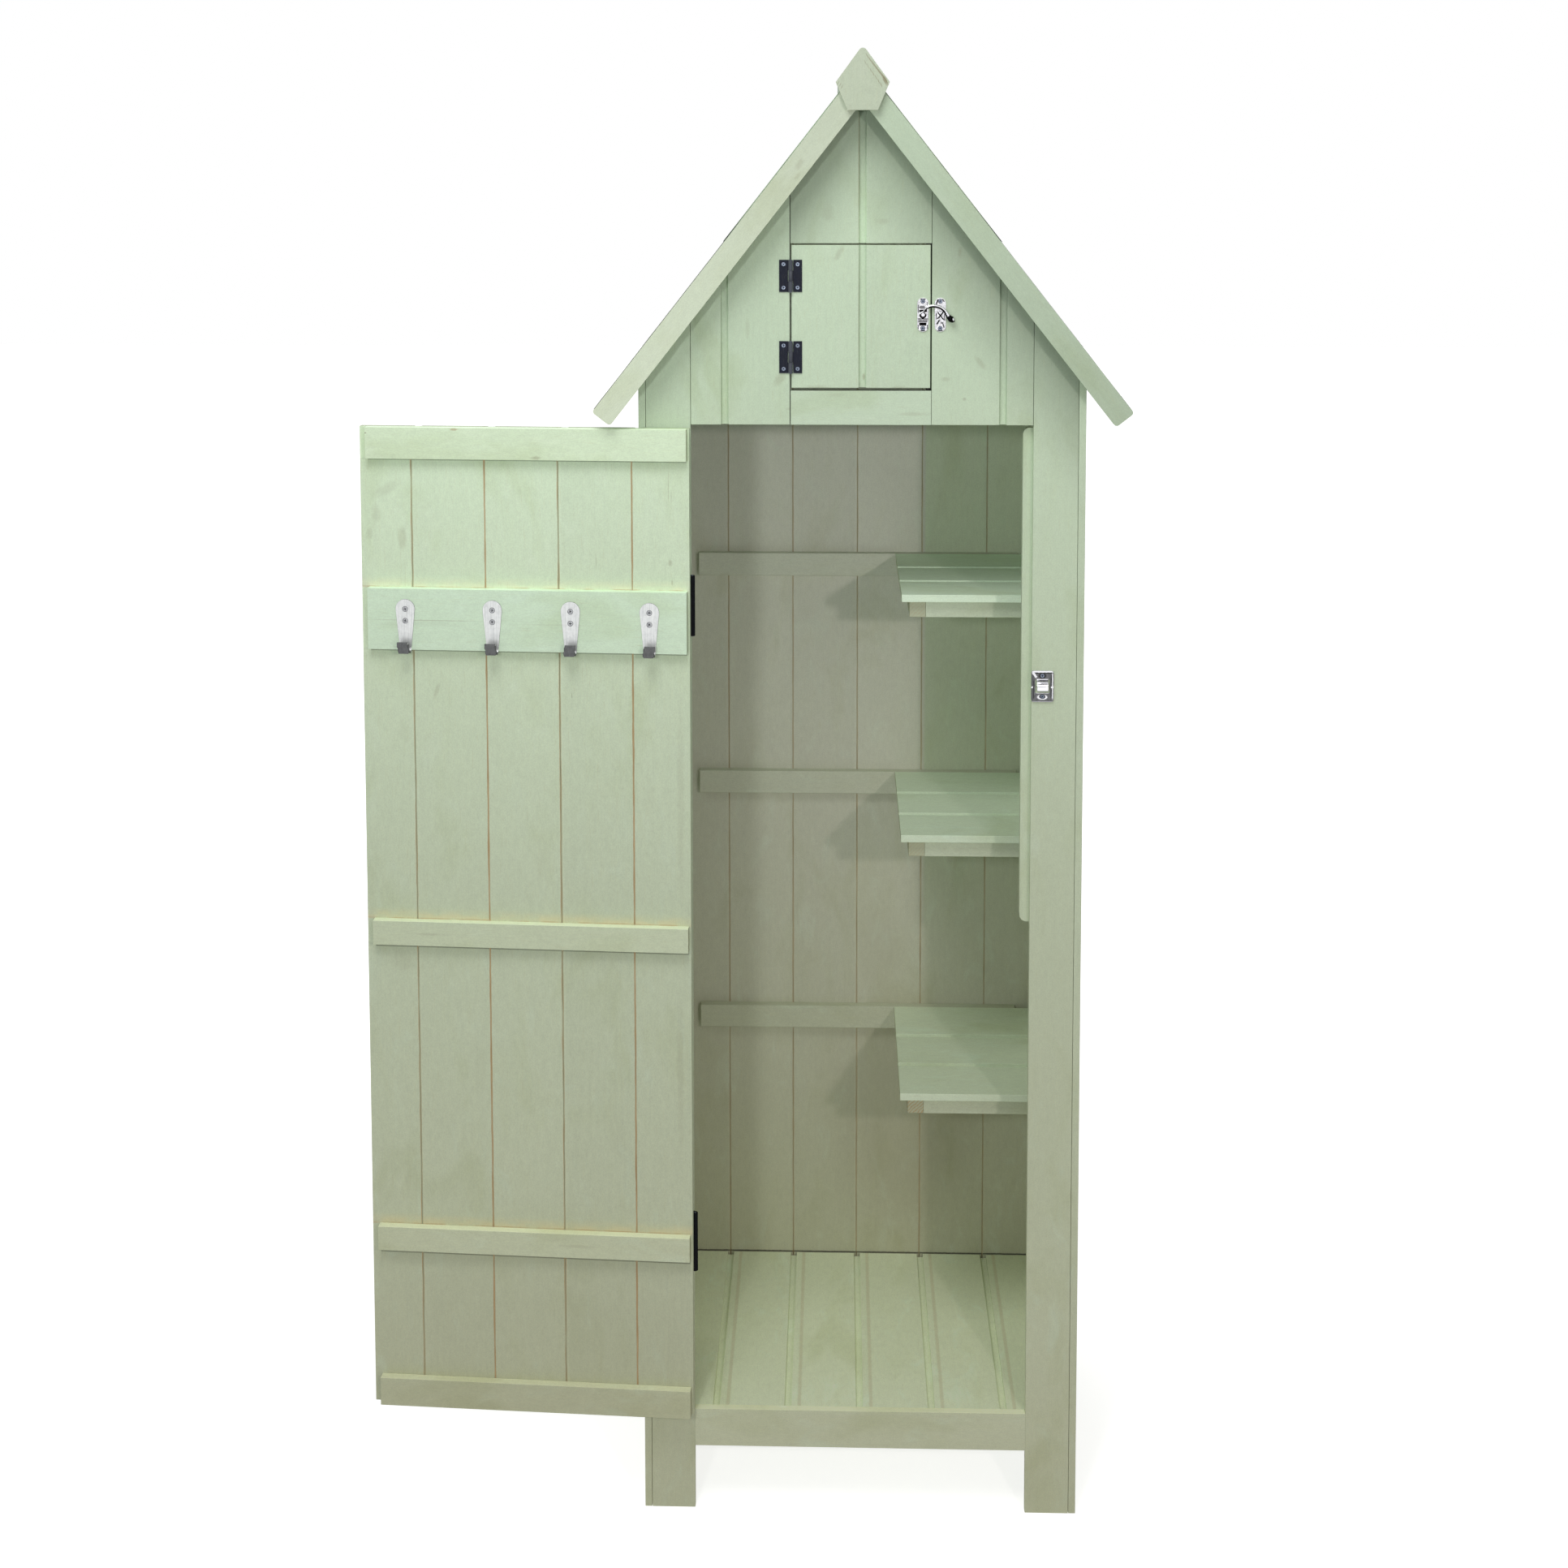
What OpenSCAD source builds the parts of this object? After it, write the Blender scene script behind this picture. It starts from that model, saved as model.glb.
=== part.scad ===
// Tall narrow garden tool shed with a gabled roof, one plank door, a small gable hatch and three corner shelves.
// The front faces -Y and the ground is z = 0. It is drawn with its door swung back and its hatch latched.

/* [Body] */
// Width over the side boards
body_w = 530; // [480:1:600]
// Depth from the front stiles' face to the back of the rear stiles
body_d = 370; // [330:1:440]
// Overall height, up to the point of the finial
overall_h = 1790; // [1700:1:1900]
// Thickness of every cladding board, stile and post
board_t = 9; // [8:0.5:11]
// Width of a stile's face
stile_w = 53; // [45:1:65]
// Width of a side post's face
side_post_w = 53; // [40:1:70]
// Cover width of one cladding board
cover_w = 88.5; // [75:0.5:100]
// Width of the sunk channel beside each board
channel_w = 8.5; // [4:0.5:12]
// Overlap of one board's lip behind the next board
lap = 4; // [3:0.5:6]
// Height of the top of the floor
floor_z = 127; // [100:1:160]
// Height of the bottom edge of the wall boards and of the front rail
skirt_z = 80; // [50:1:90]
// Size of the square bearers under the floor and of the roof rafters
bearer = 20; // [15:1:24]

/* [Roof] */
// Slope of the roof in degrees
pitch = 52; // [46:1:56]
// Drop from the finial's point to where the bargeboards' upper edges would meet
finial_rise = 17.6; // [14:0.2:24]
// How far the bargeboards' lower ends stand out past the side boards
eave_overhang = 51; // [35:1:70]
// Height of those ends above the head of the doorway
eave_gap = 2.6; // [1:0.1:20]
// Thickness of the roof felt
felt_t = 2; // [1.5:0.1:3]
// Thickness of the roof boards
deck_t = 9; // [8:0.5:12]
// Face width of a bargeboard
barge_w = 26.5; // [22:0.5:34]
// Thickness of a bargeboard
barge_t = 9; // [8:0.5:12]
// How far the roof stands out in front of the stiles
front_overhang = 35; // [25:1:50]
// How far the roof stands out behind the rear stiles
rear_overhang = 25; // [15:1:40]
// Thickness of the two ridge boards
cap_t = 8; // [6:0.5:10]
// Half the width of the ridge boards
cap_half = 29; // [25:0.5:31]
// Width of the finial at its side corners
finial_w = 62; // [58:1:70]
// Width of the finial's bottom edge
finial_foot = 35; // [28:1:42]
// Drop from the finial's point to its side corners
finial_shoulder = 39; // [36:1:44]
// Height of the finial
finial_h = 71; // [64:1:80]
// Thickness of the finial
finial_t = 9; // [8:0.5:12]

/* [Gable and hatch] */
// Width of the gap in the gable that the hatch closes
hatch_gap_w = 167; // [150:1:180]
// Height of the sill board under that gap
hatch_sill_h = 41; // [30:1:45]
// Height of that gap
hatch_gap_h = 174; // [160:1:180]
// How far the middle of the hatch lies left of the middle of the shed
hatch_left = 1; // [0:0.5:4]
// Clearance at the hinged edge of the hatch
hatch_side_gap = 0.9; // [0.8:0.1:2]
// Clearance at the free edge and at the top of the hatch
hatch_free_gap = 1.8; // [1.2:0.1:2.5]
// Clearance under the hatch
hatch_sill_gap = 3; // [2:0.5:5]

/* [Door] */
// Clearance between the door and the right stile
door_latch_gap = 7; // [4:0.5:10]
// Clearance under the door
door_sill_gap = 3; // [2:0.5:6]
// Clearance over the door
door_head_gap = 3; // [2:0.5:6]
// Clearance between the door and the left stile
door_hinge_gap = 3; // [2.5:0.1:4]
// Angle by which the door stands open
door_open = 182.76; // [90:0.01:185]
// Thickness of the door's ledges
ledge_t = 10.2; // [8:0.2:14]
// Distance of the ledges from the door's free edge
ledge_free_inset = 9; // [8.5:0.5:14]
// Distance of the ledges from the door's hinged edge
ledge_hinge_inset = 2.5; // [1:0.5:6]
// Width of the first board, at the hinges
door_first = 65; // [50:1:85]
// Width of the hook rail
hook_rail_w = 74; // [68:1:90]
// Drop of the hook rail's upper edge below the door's top
hook_rail_drop = 194; // [150:1:230]
// Width of the two ledges halfway down
mid_ledge_w = 30; // [24:1:40]
// Height of the upper of those two ledges
mid_ledge_z = 714; // [680:1:760]
// Height of the lower of those two ledges
low_ledge_z = 329; // [300:1:360]
// Width of the ledge along the top edge
top_ledge_w = 38; // [30:1:45]
// Width of the ledge along the bottom edge
foot_ledge_w = 35; // [30:1:45]

/* [Coat hooks] */
// Distance of the first hook from the door's hinged edge
hook_first = 46.8; // [30:0.1:60]
// Distance of the second hook from the door's hinged edge
hook_second = 141.3; // [120:0.1:160]
// Distance of the third hook from the door's hinged edge
hook_third = 235.3; // [215:0.1:255]
// Distance of the fourth hook from the door's hinged edge
hook_fourth = 340.7; // [320:0.1:350]
// Height of a hook
hook_h = 64; // [56:1:70]
// Drop of a hook's top below the rail's upper edge
hook_drop = 12.5; // [8:0.5:16]
// Width of a hook's round top
hook_top_w = 23; // [20:0.5:28]
// Width of a hook where it bends
hook_low_w = 14; // [12:0.5:16]
// How far a hook stands out
hook_reach = 11; // [10:0.5:20]
// Height of the turned-up tip
hook_tip = 13; // [10:0.5:18]
// Thickness of the hook's metal
hook_t = 1.5; // [1:0.1:2]

/* [Shelves] */
// Heights of the tops of the shelves
shelf_z = [489, 822, 1126];
// Length of a shelf from its free end to the right wall
shelf_len = 205; // [150:1:230]
// Cover width of one shelf board, three of which make a shelf
shelf_cover = 84.4; // [75:0.5:92]
// Thickness of a shelf board
shelf_t = 9.2; // [8:0.2:12]
// Height of the battens under a shelf
shelf_batten_h = 21; // [16:1:30]
// Width of the batten under the free end of a shelf
shelf_batten_w = 20; // [14:1:26]
// Distance of those battens from the shelf's front and free edges
shelf_inset = 10; // [6:1:16]
// Height of the battens across the back wall and the left wall
wall_batten_h = 31; // [25:1:40]
// Thickness of the battens on the walls
batten_t = 12; // [10:0.5:15]
// Distance of the back wall's battens from the side walls
back_batten_inset = 38; // [20:1:60]
// How far the door stop stands out past the right stile
stop_reach = 11.4; // [8.5:0.2:13]
// Width of the door stop
stop_w = 20; // [16:1:26]
// Height of the door stop's lower end
stop_z = 744; // [600:1:900]

/* [Hinges and latches] */
// Height of the door hinges
door_hinge_h = 73; // [60:1:90]
// Distance of the door hinges' middles from the door's top and bottom
door_hinge_inset = 214; // [150:1:260]
// Width of a door hinge's leaf, from the pin
door_leaf_w = 22; // [18:0.5:24]
// Outer diameter of the door hinges' knuckles
door_barrel_d = 6.6; // [5.6:0.1:7]
// Height of the hatch hinges
hatch_hinge_h = 38; // [30:1:45]
// Distance of the hatch hinges' middles from the hatch's top and bottom
hatch_hinge_inset = 36.5; // [30:0.5:50]
// Width of a hatch hinge's leaf, from the pin
hatch_leaf_w = 13.5; // [11:0.5:16]
// Distance of the screws from a hinge leaf's outer edges
leaf_screw_inset = 5.2; // [4:0.1:8]
// Outer diameter of the hatch hinges' knuckles
hatch_barrel_d = 5; // [4.4:0.1:5.4]
// Thickness of the hinge leaves
leaf_t = 1.3; // [0.8:0.1:1.6]
// Radial clearance of a hinge pin
pin_gap = 0.05; // [0.02:0.01:0.09]
// Height of the latch plates' middle above the hatch's lower edge
latch_rise = 87; // [70:1:110]
// Distance of the latch's pivot from the hatch's free edge
latch_inset = 9; // [8:0.1:12]
// Width of the latch plates
latch_w = 13; // [12:0.5:15]
// Height of the latch plates
latch_h = 40; // [36:1:46]
// Distance from the hatch plate's middle to the stud's middle
latch_span = 20.5; // [19:0.5:24]
// Drop of the door keeper's middle below the door's top
keeper_drop = 310; // [250:1:400]
// Width of the door keeper
keeper_w = 26.4; // [24:0.2:30]
// Height of the door keeper
keeper_h = 37.6; // [34:0.2:44]
// Thickness of the latch plates
plate_t = 1.2; // [1:0.1:1.5]

/* [Hidden] */
$fn = 48;

// Colours
paint = "#c1d2ba";
paint_shade = "#a3aa90";
felt_green = "#2f3b33";
black_steel = "#22252b";
bright_steel = "#cfcfcf";
chrome = "#b9bcc0";

// Small clearances
face_gap = 0.15;
seat_gap = 0.05;
line_gap = 0.5;
floor_back_gap = 2.5;
board_gap = 0.8;
proud = 0.4;
knuckle_gap = 0.3;
min_rip = 30;

// The body's outline seen from above
half_w = body_w / 2;
in_half = half_w - board_t;
door_half = in_half - stile_w;
back_in = body_d - 2 * board_t;
lip_z = board_t / 2;

// The roof's lines: a point lies s down the slope from the ridge and n under the roof boards' top face
ridge_z = overall_h - finial_rise;
eave_half = half_w + eave_overhang;
slope_len = eave_half / cos(pitch);
rafter_n = deck_t + bearer;
function roof_pt(s, n) = [s * cos(pitch) - n * sin(pitch), ridge_z - s * sin(pitch) - n * cos(pitch)];
function ridge_s(n) = n * tan(pitch);
function roof_z(x, n) = ridge_z - n / cos(pitch) - abs(x) * tan(pitch);
roof_front = -front_overhang;
roof_back = body_d + rear_overhang;
lintel_z = roof_pt(slope_len, barge_w)[1] - eave_gap;

// Hatch and door, in their closed places
hatch_x0 = -hatch_gap_w / 2 - hatch_left;
hatch_x1 = hatch_gap_w / 2 - hatch_left;
hatch_gap_z = lintel_z + hatch_sill_h;
hatch_top = hatch_gap_z + hatch_gap_h;
hatch_l = hatch_x0 + hatch_side_gap;
hatch_r = hatch_x1 - hatch_free_gap;
hatch_low = hatch_gap_z + hatch_sill_gap;
hatch_high = hatch_top - hatch_free_gap;
hatch_hinge_z = [hatch_low + hatch_hinge_inset, hatch_high - hatch_hinge_inset];
latch_z = hatch_low + latch_rise;
door_l = -door_half + door_hinge_gap;
door_r = door_half - door_latch_gap;
door_w = door_r - door_l;
door_z0 = floor_z + door_sill_gap;
door_z1 = lintel_z - door_head_gap;
door_hinge_z = [door_z0 + door_hinge_inset, door_z1 - door_hinge_inset];
hook_rail_z = door_z1 - hook_rail_drop;
keeper_z = door_z1 - keeper_drop;
hook_u = [hook_first, hook_second, hook_third, hook_fourth];

// Hinge axes, given by their x and y
door_axis = [-door_half + door_hinge_gap / 2, -door_barrel_d / 2 - 0.5];
hatch_axis = [hatch_x0 + hatch_side_gap / 2, -hatch_barrel_d / 2 - 0.7];
latch_axis = [hatch_r - latch_inset, -proud - plate_t];
flap_axis = [door_r - 4, -3.2];
flap_fold = 165;

// Middle of the whole outline with the door open, which becomes the origin
free_dx = door_r - door_axis[0];
free_dy = board_t - proud - door_axis[1];
x_low = door_axis[0] + free_dx * cos(door_open) + free_dy * sin(door_open);
x_high = eave_half + felt_t * sin(pitch);
y_low = roof_front - finial_t;
mid_x = (x_low + x_high) / 2;
mid_y = (y_low + roof_back) / 2;

module placed() {
  translate([-mid_x, -mid_y, 0]) children();
}

module turned_about(axis, angle) {
  translate([axis[0], axis[1], 0]) rotate([0, 0, angle]) translate([-axis[0], -axis[1], 0]) children();
}

// Turns what is drawn on the closed door to where the open door is
module open_door() {
  placed() turned_about(door_axis, -door_open) children();
}

// Local x to the right, y up and z out towards someone in front
module on_front(x, y, z) {
  translate([x, y, z]) rotate([90, 0, 0]) children();
}

// The same on an inner face, seen from inside
module on_inside(x, y, z) {
  translate([x, y, z]) rotate([90, 0, 180]) children();
}

module mirrored(side) {
  if (side < 0) mirror([1, 0, 0]) children();
  if (side > 0) children();
}

module block(low, high) {
  translate(low) cube([high[0] - low[0], high[1] - low[1], high[2] - low[2]]);
}

module rounded_rect(w, h, r) {
  square([w - 2 * r, h], center = true);
  square([w, h - 2 * r], center = true);
  for (sx = [-1, 1], sy = [-1, 1]) translate([sx * (w / 2 - r), sy * (h / 2 - r)]) circle(r);
}

// Tongued boards: the joints across a width, and one board's section with its outer face at y = 0
function joints(a, b, first, cover) = concat([a], [for (x = a + first; x < b - min_rip; x = x + cover) x], [b]);

module board_section(x0, x1, t, plain_start, plain_end) {
  start = plain_start ? [[x0, t], [x0, 0]] : [[x0 + lap, t], [x0 + lap, t / 2], [x0, t / 2], [x0, 0]];
  lip = [[x1 - channel_w, 0], [x1 - channel_w, t / 2 + face_gap],
    [x1 + lap - board_gap, t / 2 + face_gap], [x1 + lap - board_gap, t]];
  polygon(concat(start, plain_end ? [[x1, 0], [x1, t]] : lip));
}

module boards(edges, t, length) {
  last = len(edges) - 2;
  for (i = [0 : last]) linear_extrude(length) board_section(edges[i], edges[i + 1], t, i == 0, i == last);
}

// Everything that lies below a line n under the roof's face
module under_roof(n) {
  wide = eave_half;
  translate([0, 2 * body_d, 0]) rotate([90, 0, 0]) linear_extrude(3 * body_d)
    polygon([[-wide, 0], [wide, 0], [wide, roof_z(wide, n)], [0, roof_z(0, n)], [-wide, roof_z(wide, n)]]);
}

// A slab that follows one slope, mitred at the ridge when s0 is 0
module slope_slab(side, s0, s1, n0, n1, y0, y1) {
  a = s0 == 0 ? [ridge_s(n0), ridge_s(n1)] : [s0, s0];
  mirrored(side) translate([0, y1, 0]) rotate([90, 0, 0]) linear_extrude(y1 - y0)
    polygon([roof_pt(a[0], n0), roof_pt(s1, n0), roof_pt(s1, n1), roof_pt(a[1], n1)]);
}

// Corner frame
module front_stile(side) {
  color(paint) placed() intersection() {
    mirrored(side) block([door_half, 0, 0], [in_half, board_t, overall_h]);
    under_roof(deck_t);
  }
}

module rear_stile(side) {
  color(paint) placed() intersection() {
    mirrored(side) block([door_half, body_d - board_t, 0], [in_half, body_d, overall_h]);
    under_roof(deck_t);
  }
}

module side_post(side, y0) {
  color(paint) placed() intersection() {
    mirrored(side) block([in_half + line_gap, y0, 0], [half_w, y0 + side_post_w, overall_h]);
    under_roof(deck_t);
  }
}

module front_rail() {
  color(paint) placed() block([-door_half, 0, skirt_z], [door_half, board_t, floor_z]);
}

// Floor
floor_first = 83;
module floor_boards() {
  y1 = back_in - floor_back_gap;
  color(paint_shade) placed() translate([0, y1, floor_z]) rotate([90, 0, 0]) mirror([0, 1, 0])
    boards(joints(-in_half, in_half, floor_first, cover_w), board_t, y1 - board_t);
}

module floor_bearers() {
  top = floor_z - board_t;
  color(paint_shade) placed() {
    block([-in_half, board_t, top - bearer], [in_half, board_t + bearer, top]);
    block([-in_half, back_in - bearer, top - bearer], [in_half, back_in, top]);
    for (side = [-1, 1]) mirrored(side)
      block([in_half - bearer, board_t + bearer + face_gap, top - bearer],
        [in_half, back_in - bearer - face_gap, top]);
  }
}

// Walls
module side_wall_boards(side) {
  y0 = side_post_w;
  y1 = body_d - side_post_w;
  color(paint) placed() intersection() {
    mirrored(side) translate([half_w, 0, skirt_z]) rotate([0, 0, 90])
      boards(joints(y0, y1, cover_w, cover_w), board_t, overall_h);
    under_roof(deck_t);
  }
}

back_first = 74.4;
module back_wall_boards() {
  color(paint_shade) placed() intersection() {
    translate([0, body_d - board_t, skirt_z]) mirror([0, 1, 0])
      boards(joints(-in_half, in_half, back_first, cover_w), board_t, overall_h);
    under_roof(deck_t);
  }
}

module back_wall_battens() {
  x1 = in_half - back_batten_inset;
  color(paint_shade) placed() for (z = shelf_z)
    block([-x1, back_in - batten_t, z - wall_batten_h], [x1, back_in, z]);
}

module left_wall_battens() {
  color(paint_shade) placed() for (z = shelf_z)
    block([-in_half, board_t + bearer, z - wall_batten_h], [-in_half + batten_t, back_in - batten_t, z]);
}

// Shelves, on a cleat at the right wall and framed underneath
shelf_x0 = in_half - shelf_len;
shelf_y1 = back_in - batten_t;
shelf_y0 = shelf_y1 - 3 * shelf_cover;
module shelf(i) {
  color(paint) placed() translate([shelf_x0, 0, shelf_z[i]]) rotate([90, 0, 90]) mirror([0, 1, 0])
    boards([for (k = [0 : 3]) shelf_y0 + k * shelf_cover], shelf_t, shelf_len);
}

module shelf_cleats() {
  color(paint_shade) placed() for (z = shelf_z)
    block([in_half - batten_t, shelf_y0 + shelf_inset, z - shelf_t - shelf_batten_h],
      [in_half, shelf_y1, z - shelf_t]);
}

module shelf_frames() {
  x0 = shelf_x0 + shelf_inset;
  x1 = x0 + shelf_batten_w;
  y0 = shelf_y0 + shelf_inset;
  color(paint) placed() for (z = shelf_z) {
    top = z - shelf_t;
    low = top - shelf_batten_h;
    block([x0, y0, low], [x1, shelf_y1, top]);
    block([x1 + face_gap, y0, low], [in_half - batten_t, y0 + batten_t, top]);
    block([x1 + face_gap, shelf_y1 - batten_t, low], [in_half - batten_t, shelf_y1, top]);
  }
}

// Gable over the doorway, with the gap that the hatch closes
gable_left_first = 45;
module gable_panel(edges, z0) {
  color(paint) placed() intersection() {
    translate([0, 0, z0]) boards(edges, board_t, overall_h);
    under_roof(deck_t);
  }
}

module gable_sill_board() {
  color(paint) placed() block([hatch_x0 + line_gap, 0, lintel_z], [hatch_x1 - line_gap, board_t, hatch_gap_z]);
}

module gable_battens() {
  stop = 6.5;
  y0 = board_t;
  y1 = board_t + batten_t;
  z0 = lintel_z + 3;
  z1 = z0 + wall_batten_h;
  foot = z1 + face_gap;
  head = hatch_top + 2;
  right = hatch_x1 - stop;
  color(paint_shade) placed() {
    block([-in_half, y0, z0], [in_half, y1, z1]);
    intersection() {
      union() {
        block([right, y0, foot], [right + bearer, y1, overall_h]);
        block([hatch_x0 - bearer, y0, foot], [hatch_x0, y1, overall_h]);
        block([hatch_x0 + face_gap, y0, head], [right - face_gap, y1, head + bearer]);
      }
      under_roof(rafter_n + seat_gap);
    }
  }
}

// Roof
module rafters() {
  color(paint_shade) placed() difference() {
    intersection() {
      union() {
        for (side = [-1, 1], y0 = [board_t, back_in - batten_t])
          slope_slab(side, 0, slope_len, deck_t + seat_gap, rafter_n, y0, y0 + batten_t);
      }
      block([-in_half, 0, 0], [in_half, body_d, overall_h]);
    }
    block([-face_gap / 2, -1, 0], [face_gap / 2, body_d, overall_h]);
  }
}

module roof_boards(side) {
  count = ceil(slope_len / cover_w);
  color(paint_shade) placed() for (i = [0 : count - 1])
    slope_slab(side, i * cover_w, min(slope_len, (i + 1) * cover_w - board_gap / 2), 0, deck_t,
      roof_front + barge_t, roof_back - barge_t);
}

module roof_felt(side) {
  color(felt_green) placed() slope_slab(side, 0, slope_len, -felt_t, -seat_gap, roof_front, roof_back);
}

barge_r = 4;
module bargeboard(side, y0) {
  corner = [for (n = [0, barge_w]) roof_pt(slope_len, n)];
  color(paint) placed() mirrored(side) translate([0, y0 + barge_t, 0]) rotate([90, 0, 0]) linear_extrude(barge_t)
    difference() {
      polygon([roof_pt(0, 0), corner[0], corner[1], roof_pt(ridge_s(barge_w), barge_w)]);
      translate(corner[0]) rotate(180 - pitch) corner_cut(barge_r);
      translate(corner[1]) rotate(90 - pitch) corner_cut(barge_r);
    }
}

// Rounds a square corner that lies at the origin, with its sides along +x and +y
module corner_cut(r) {
  difference() {
    translate([-1, -1]) square(r + 1);
    translate([r, r]) circle(r);
  }
}

module ridge_board(side) {
  low_n = -felt_t - seat_gap;
  top_n = -felt_t - cap_t;
  undercut = 3;
  foot = [cap_half - undercut, roof_z(cap_half - undercut, low_n)];
  color(paint) placed() mirrored(side) translate([0, roof_back, 0]) rotate([90, 0, 0])
    linear_extrude(roof_back - roof_front)
      polygon([[0, roof_z(0, low_n)], foot, [cap_half, roof_z(cap_half, top_n)], [0, roof_z(0, top_n)]]);
}

module finial() {
  point_r = 5;
  low = overall_h - finial_h;
  shoulder = overall_h - finial_shoulder;
  color(paint) placed() translate([0, roof_front, 0]) rotate([90, 0, 0]) linear_extrude(finial_t) hull() {
    translate([0, overall_h - point_r]) circle(point_r);
    polygon([[-finial_foot / 2, low], [finial_foot / 2, low], [finial_w / 2, shoulder], [-finial_w / 2, shoulder]]);
  }
}

module door_stop() {
  x0 = door_half - stop_reach;
  z1 = door_z1 - 1;
  color(paint) placed() translate([x0 + stop_w / 2, board_t + batten_t - 2, (stop_z + z1) / 2]) rotate([90, 0, 0])
    linear_extrude(batten_t - 2) rounded_rect(stop_w, z1 - stop_z, 8);
}

// Fasteners: the head's face is at z = 0 and the shank points down
module screw(length, head_r, shank_r) {
  head_h = head_r - shank_r;
  slot_w = head_r * 0.3;
  difference() {
    union() {
      translate([0, 0, -head_h]) cylinder(h = head_h, r1 = shank_r, r2 = head_r);
      translate([0, 0, -length]) cylinder(h = length - head_h, r = shank_r);
    }
    for (a = [0, 90]) rotate([0, 0, a]) translate([-head_r * 0.6, -slot_w / 2, -head_h * 0.6])
      cube([head_r * 1.2, slot_w, head_h]);
  }
}

module screw_hole(head_r, shank_r, t) {
  clear = 0.2;
  depth = head_r - shank_r;
  translate([0, 0, -1]) cylinder(h = t + 2, r = shank_r + clear);
  translate([0, 0, t - depth]) cylinder(h = depth + 0.01, r1 = shank_r + clear, r2 = head_r + clear);
}

// Butt hinges: the pin runs along local y at x = 0 and at height axis_h, and lift is the height of the face
pin_share = 0.47;
screw_head_r = 2.6;
screw_r = 1.4;
function leaf_corner(w, h, side) = [w - leaf_screw_inset, side * (h / 2 - leaf_screw_inset)];
door_leaf_holes = [leaf_corner(door_leaf_w, door_hinge_h, -1), [door_leaf_w / 2 + 1, 0],
  leaf_corner(door_leaf_w, door_hinge_h, 1)];
hatch_leaf_holes = [for (side = [-1, 1]) leaf_corner(hatch_leaf_w, hatch_hinge_h, side)];

module hinge_leaf(side, w, h, barrel_d, axis_h, lift, knuckles, holes) {
  third = h / 3;
  near = barrel_d / 2 + 0.7;
  gap = len(knuckles) == 1 ? pin_gap : 0;
  part_h = third - knuckle_gap;
  difference() {
    union() {
      mirrored(side) translate([near, -h / 2, lift]) cube([w - near, h, leaf_t]);
      for (k = knuckles) translate([0, (k - 0.5) * third - h / 2, 0]) {
        mirrored(side) translate([0, -part_h / 2, lift]) cube([near + 1, part_h, leaf_t]);
        translate([0, part_h / 2, axis_h]) rotate([90, 0, 0]) cylinder(h = part_h, d = barrel_d);
      }
    }
    translate([0, h, axis_h]) rotate([90, 0, 0]) cylinder(h = 2 * h, r = pin_r(barrel_d) + gap);
    mirrored(side) for (p = holes) translate([p[0], p[1], lift]) screw_hole(screw_head_r, screw_r, leaf_t);
  }
}

function pin_r(barrel_d) = barrel_d / 2 * pin_share;

module door_hinge_stile_leaves() {
  color(black_steel) placed() for (z = door_hinge_z) on_front(door_axis[0], 0, z)
    hinge_leaf(-1, door_leaf_w, door_hinge_h, door_barrel_d, -door_axis[1], 0, [1, 3], door_leaf_holes);
}

module door_hinge_leaves() {
  color(black_steel) open_door() for (z = door_hinge_z) on_front(door_axis[0], 0, z)
    hinge_leaf(1, door_leaf_w, door_hinge_h, door_barrel_d, -door_axis[1], proud, [2], door_leaf_holes);
}

module hatch_hinge_gable_leaves() {
  color(black_steel) placed() for (z = hatch_hinge_z) on_front(hatch_axis[0], 0, z)
    hinge_leaf(-1, hatch_leaf_w, hatch_hinge_h, hatch_barrel_d, -hatch_axis[1], 0, [1, 3], hatch_leaf_holes);
}

module hatch_hinge_leaves() {
  color(black_steel) placed() for (z = hatch_hinge_z) on_front(hatch_axis[0], 0, z)
    hinge_leaf(1, hatch_leaf_w, hatch_hinge_h, hatch_barrel_d, -hatch_axis[1], proud, [2], hatch_leaf_holes);
}

module hinge_pins() {
  color(black_steel) placed() {
    for (z = door_hinge_z) translate([door_axis[0], door_axis[1], z])
      cylinder(h = door_hinge_h + 1, r = pin_r(door_barrel_d), center = true);
    for (z = hatch_hinge_z) translate([hatch_axis[0], hatch_axis[1], z])
      cylinder(h = hatch_hinge_h + 1, r = pin_r(hatch_barrel_d), center = true);
  }
}

// Hatch latch: a horn-shaped arm turns on the hatch's plate and drops over a stud on the gable's plate
latch_screw_y = 16;
stud_r = 4.2;
stud_h = 5;
pivot_r = 2;
arm_t = 1.8;
arm_lift = 1;
hatch_plate_x = latch_axis[0];
keeper_plate_x = latch_axis[0] + latch_span;

module latch_plate() {
  difference() {
    linear_extrude(plate_t) {
      square([latch_w, latch_h - latch_w], center = true);
      for (s = [-1, 1]) translate([0, s * (latch_h - latch_w) / 2]) circle(latch_w / 2);
    }
    for (s = [-1, 1]) translate([0, s * latch_screw_y, 0]) screw_hole(screw_head_r, screw_r, plate_t);
  }
}

module hatch_keeper_plate() {
  color(chrome) placed() on_front(keeper_plate_x, 0, latch_z) {
    latch_plate();
    cylinder(h = stud_h + plate_t, r = stud_r);
  }
}

module hatch_latch_plate() {
  head_z = plate_t + arm_lift + arm_t + 0.3;
  color(chrome) placed() on_front(hatch_plate_x, -proud, latch_z) {
    latch_plate();
    cylinder(h = head_z + 0.1, r = pivot_r);
    translate([0, 0, head_z]) cylinder(h = 1.2, r = 3.4);
  }
}

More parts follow.
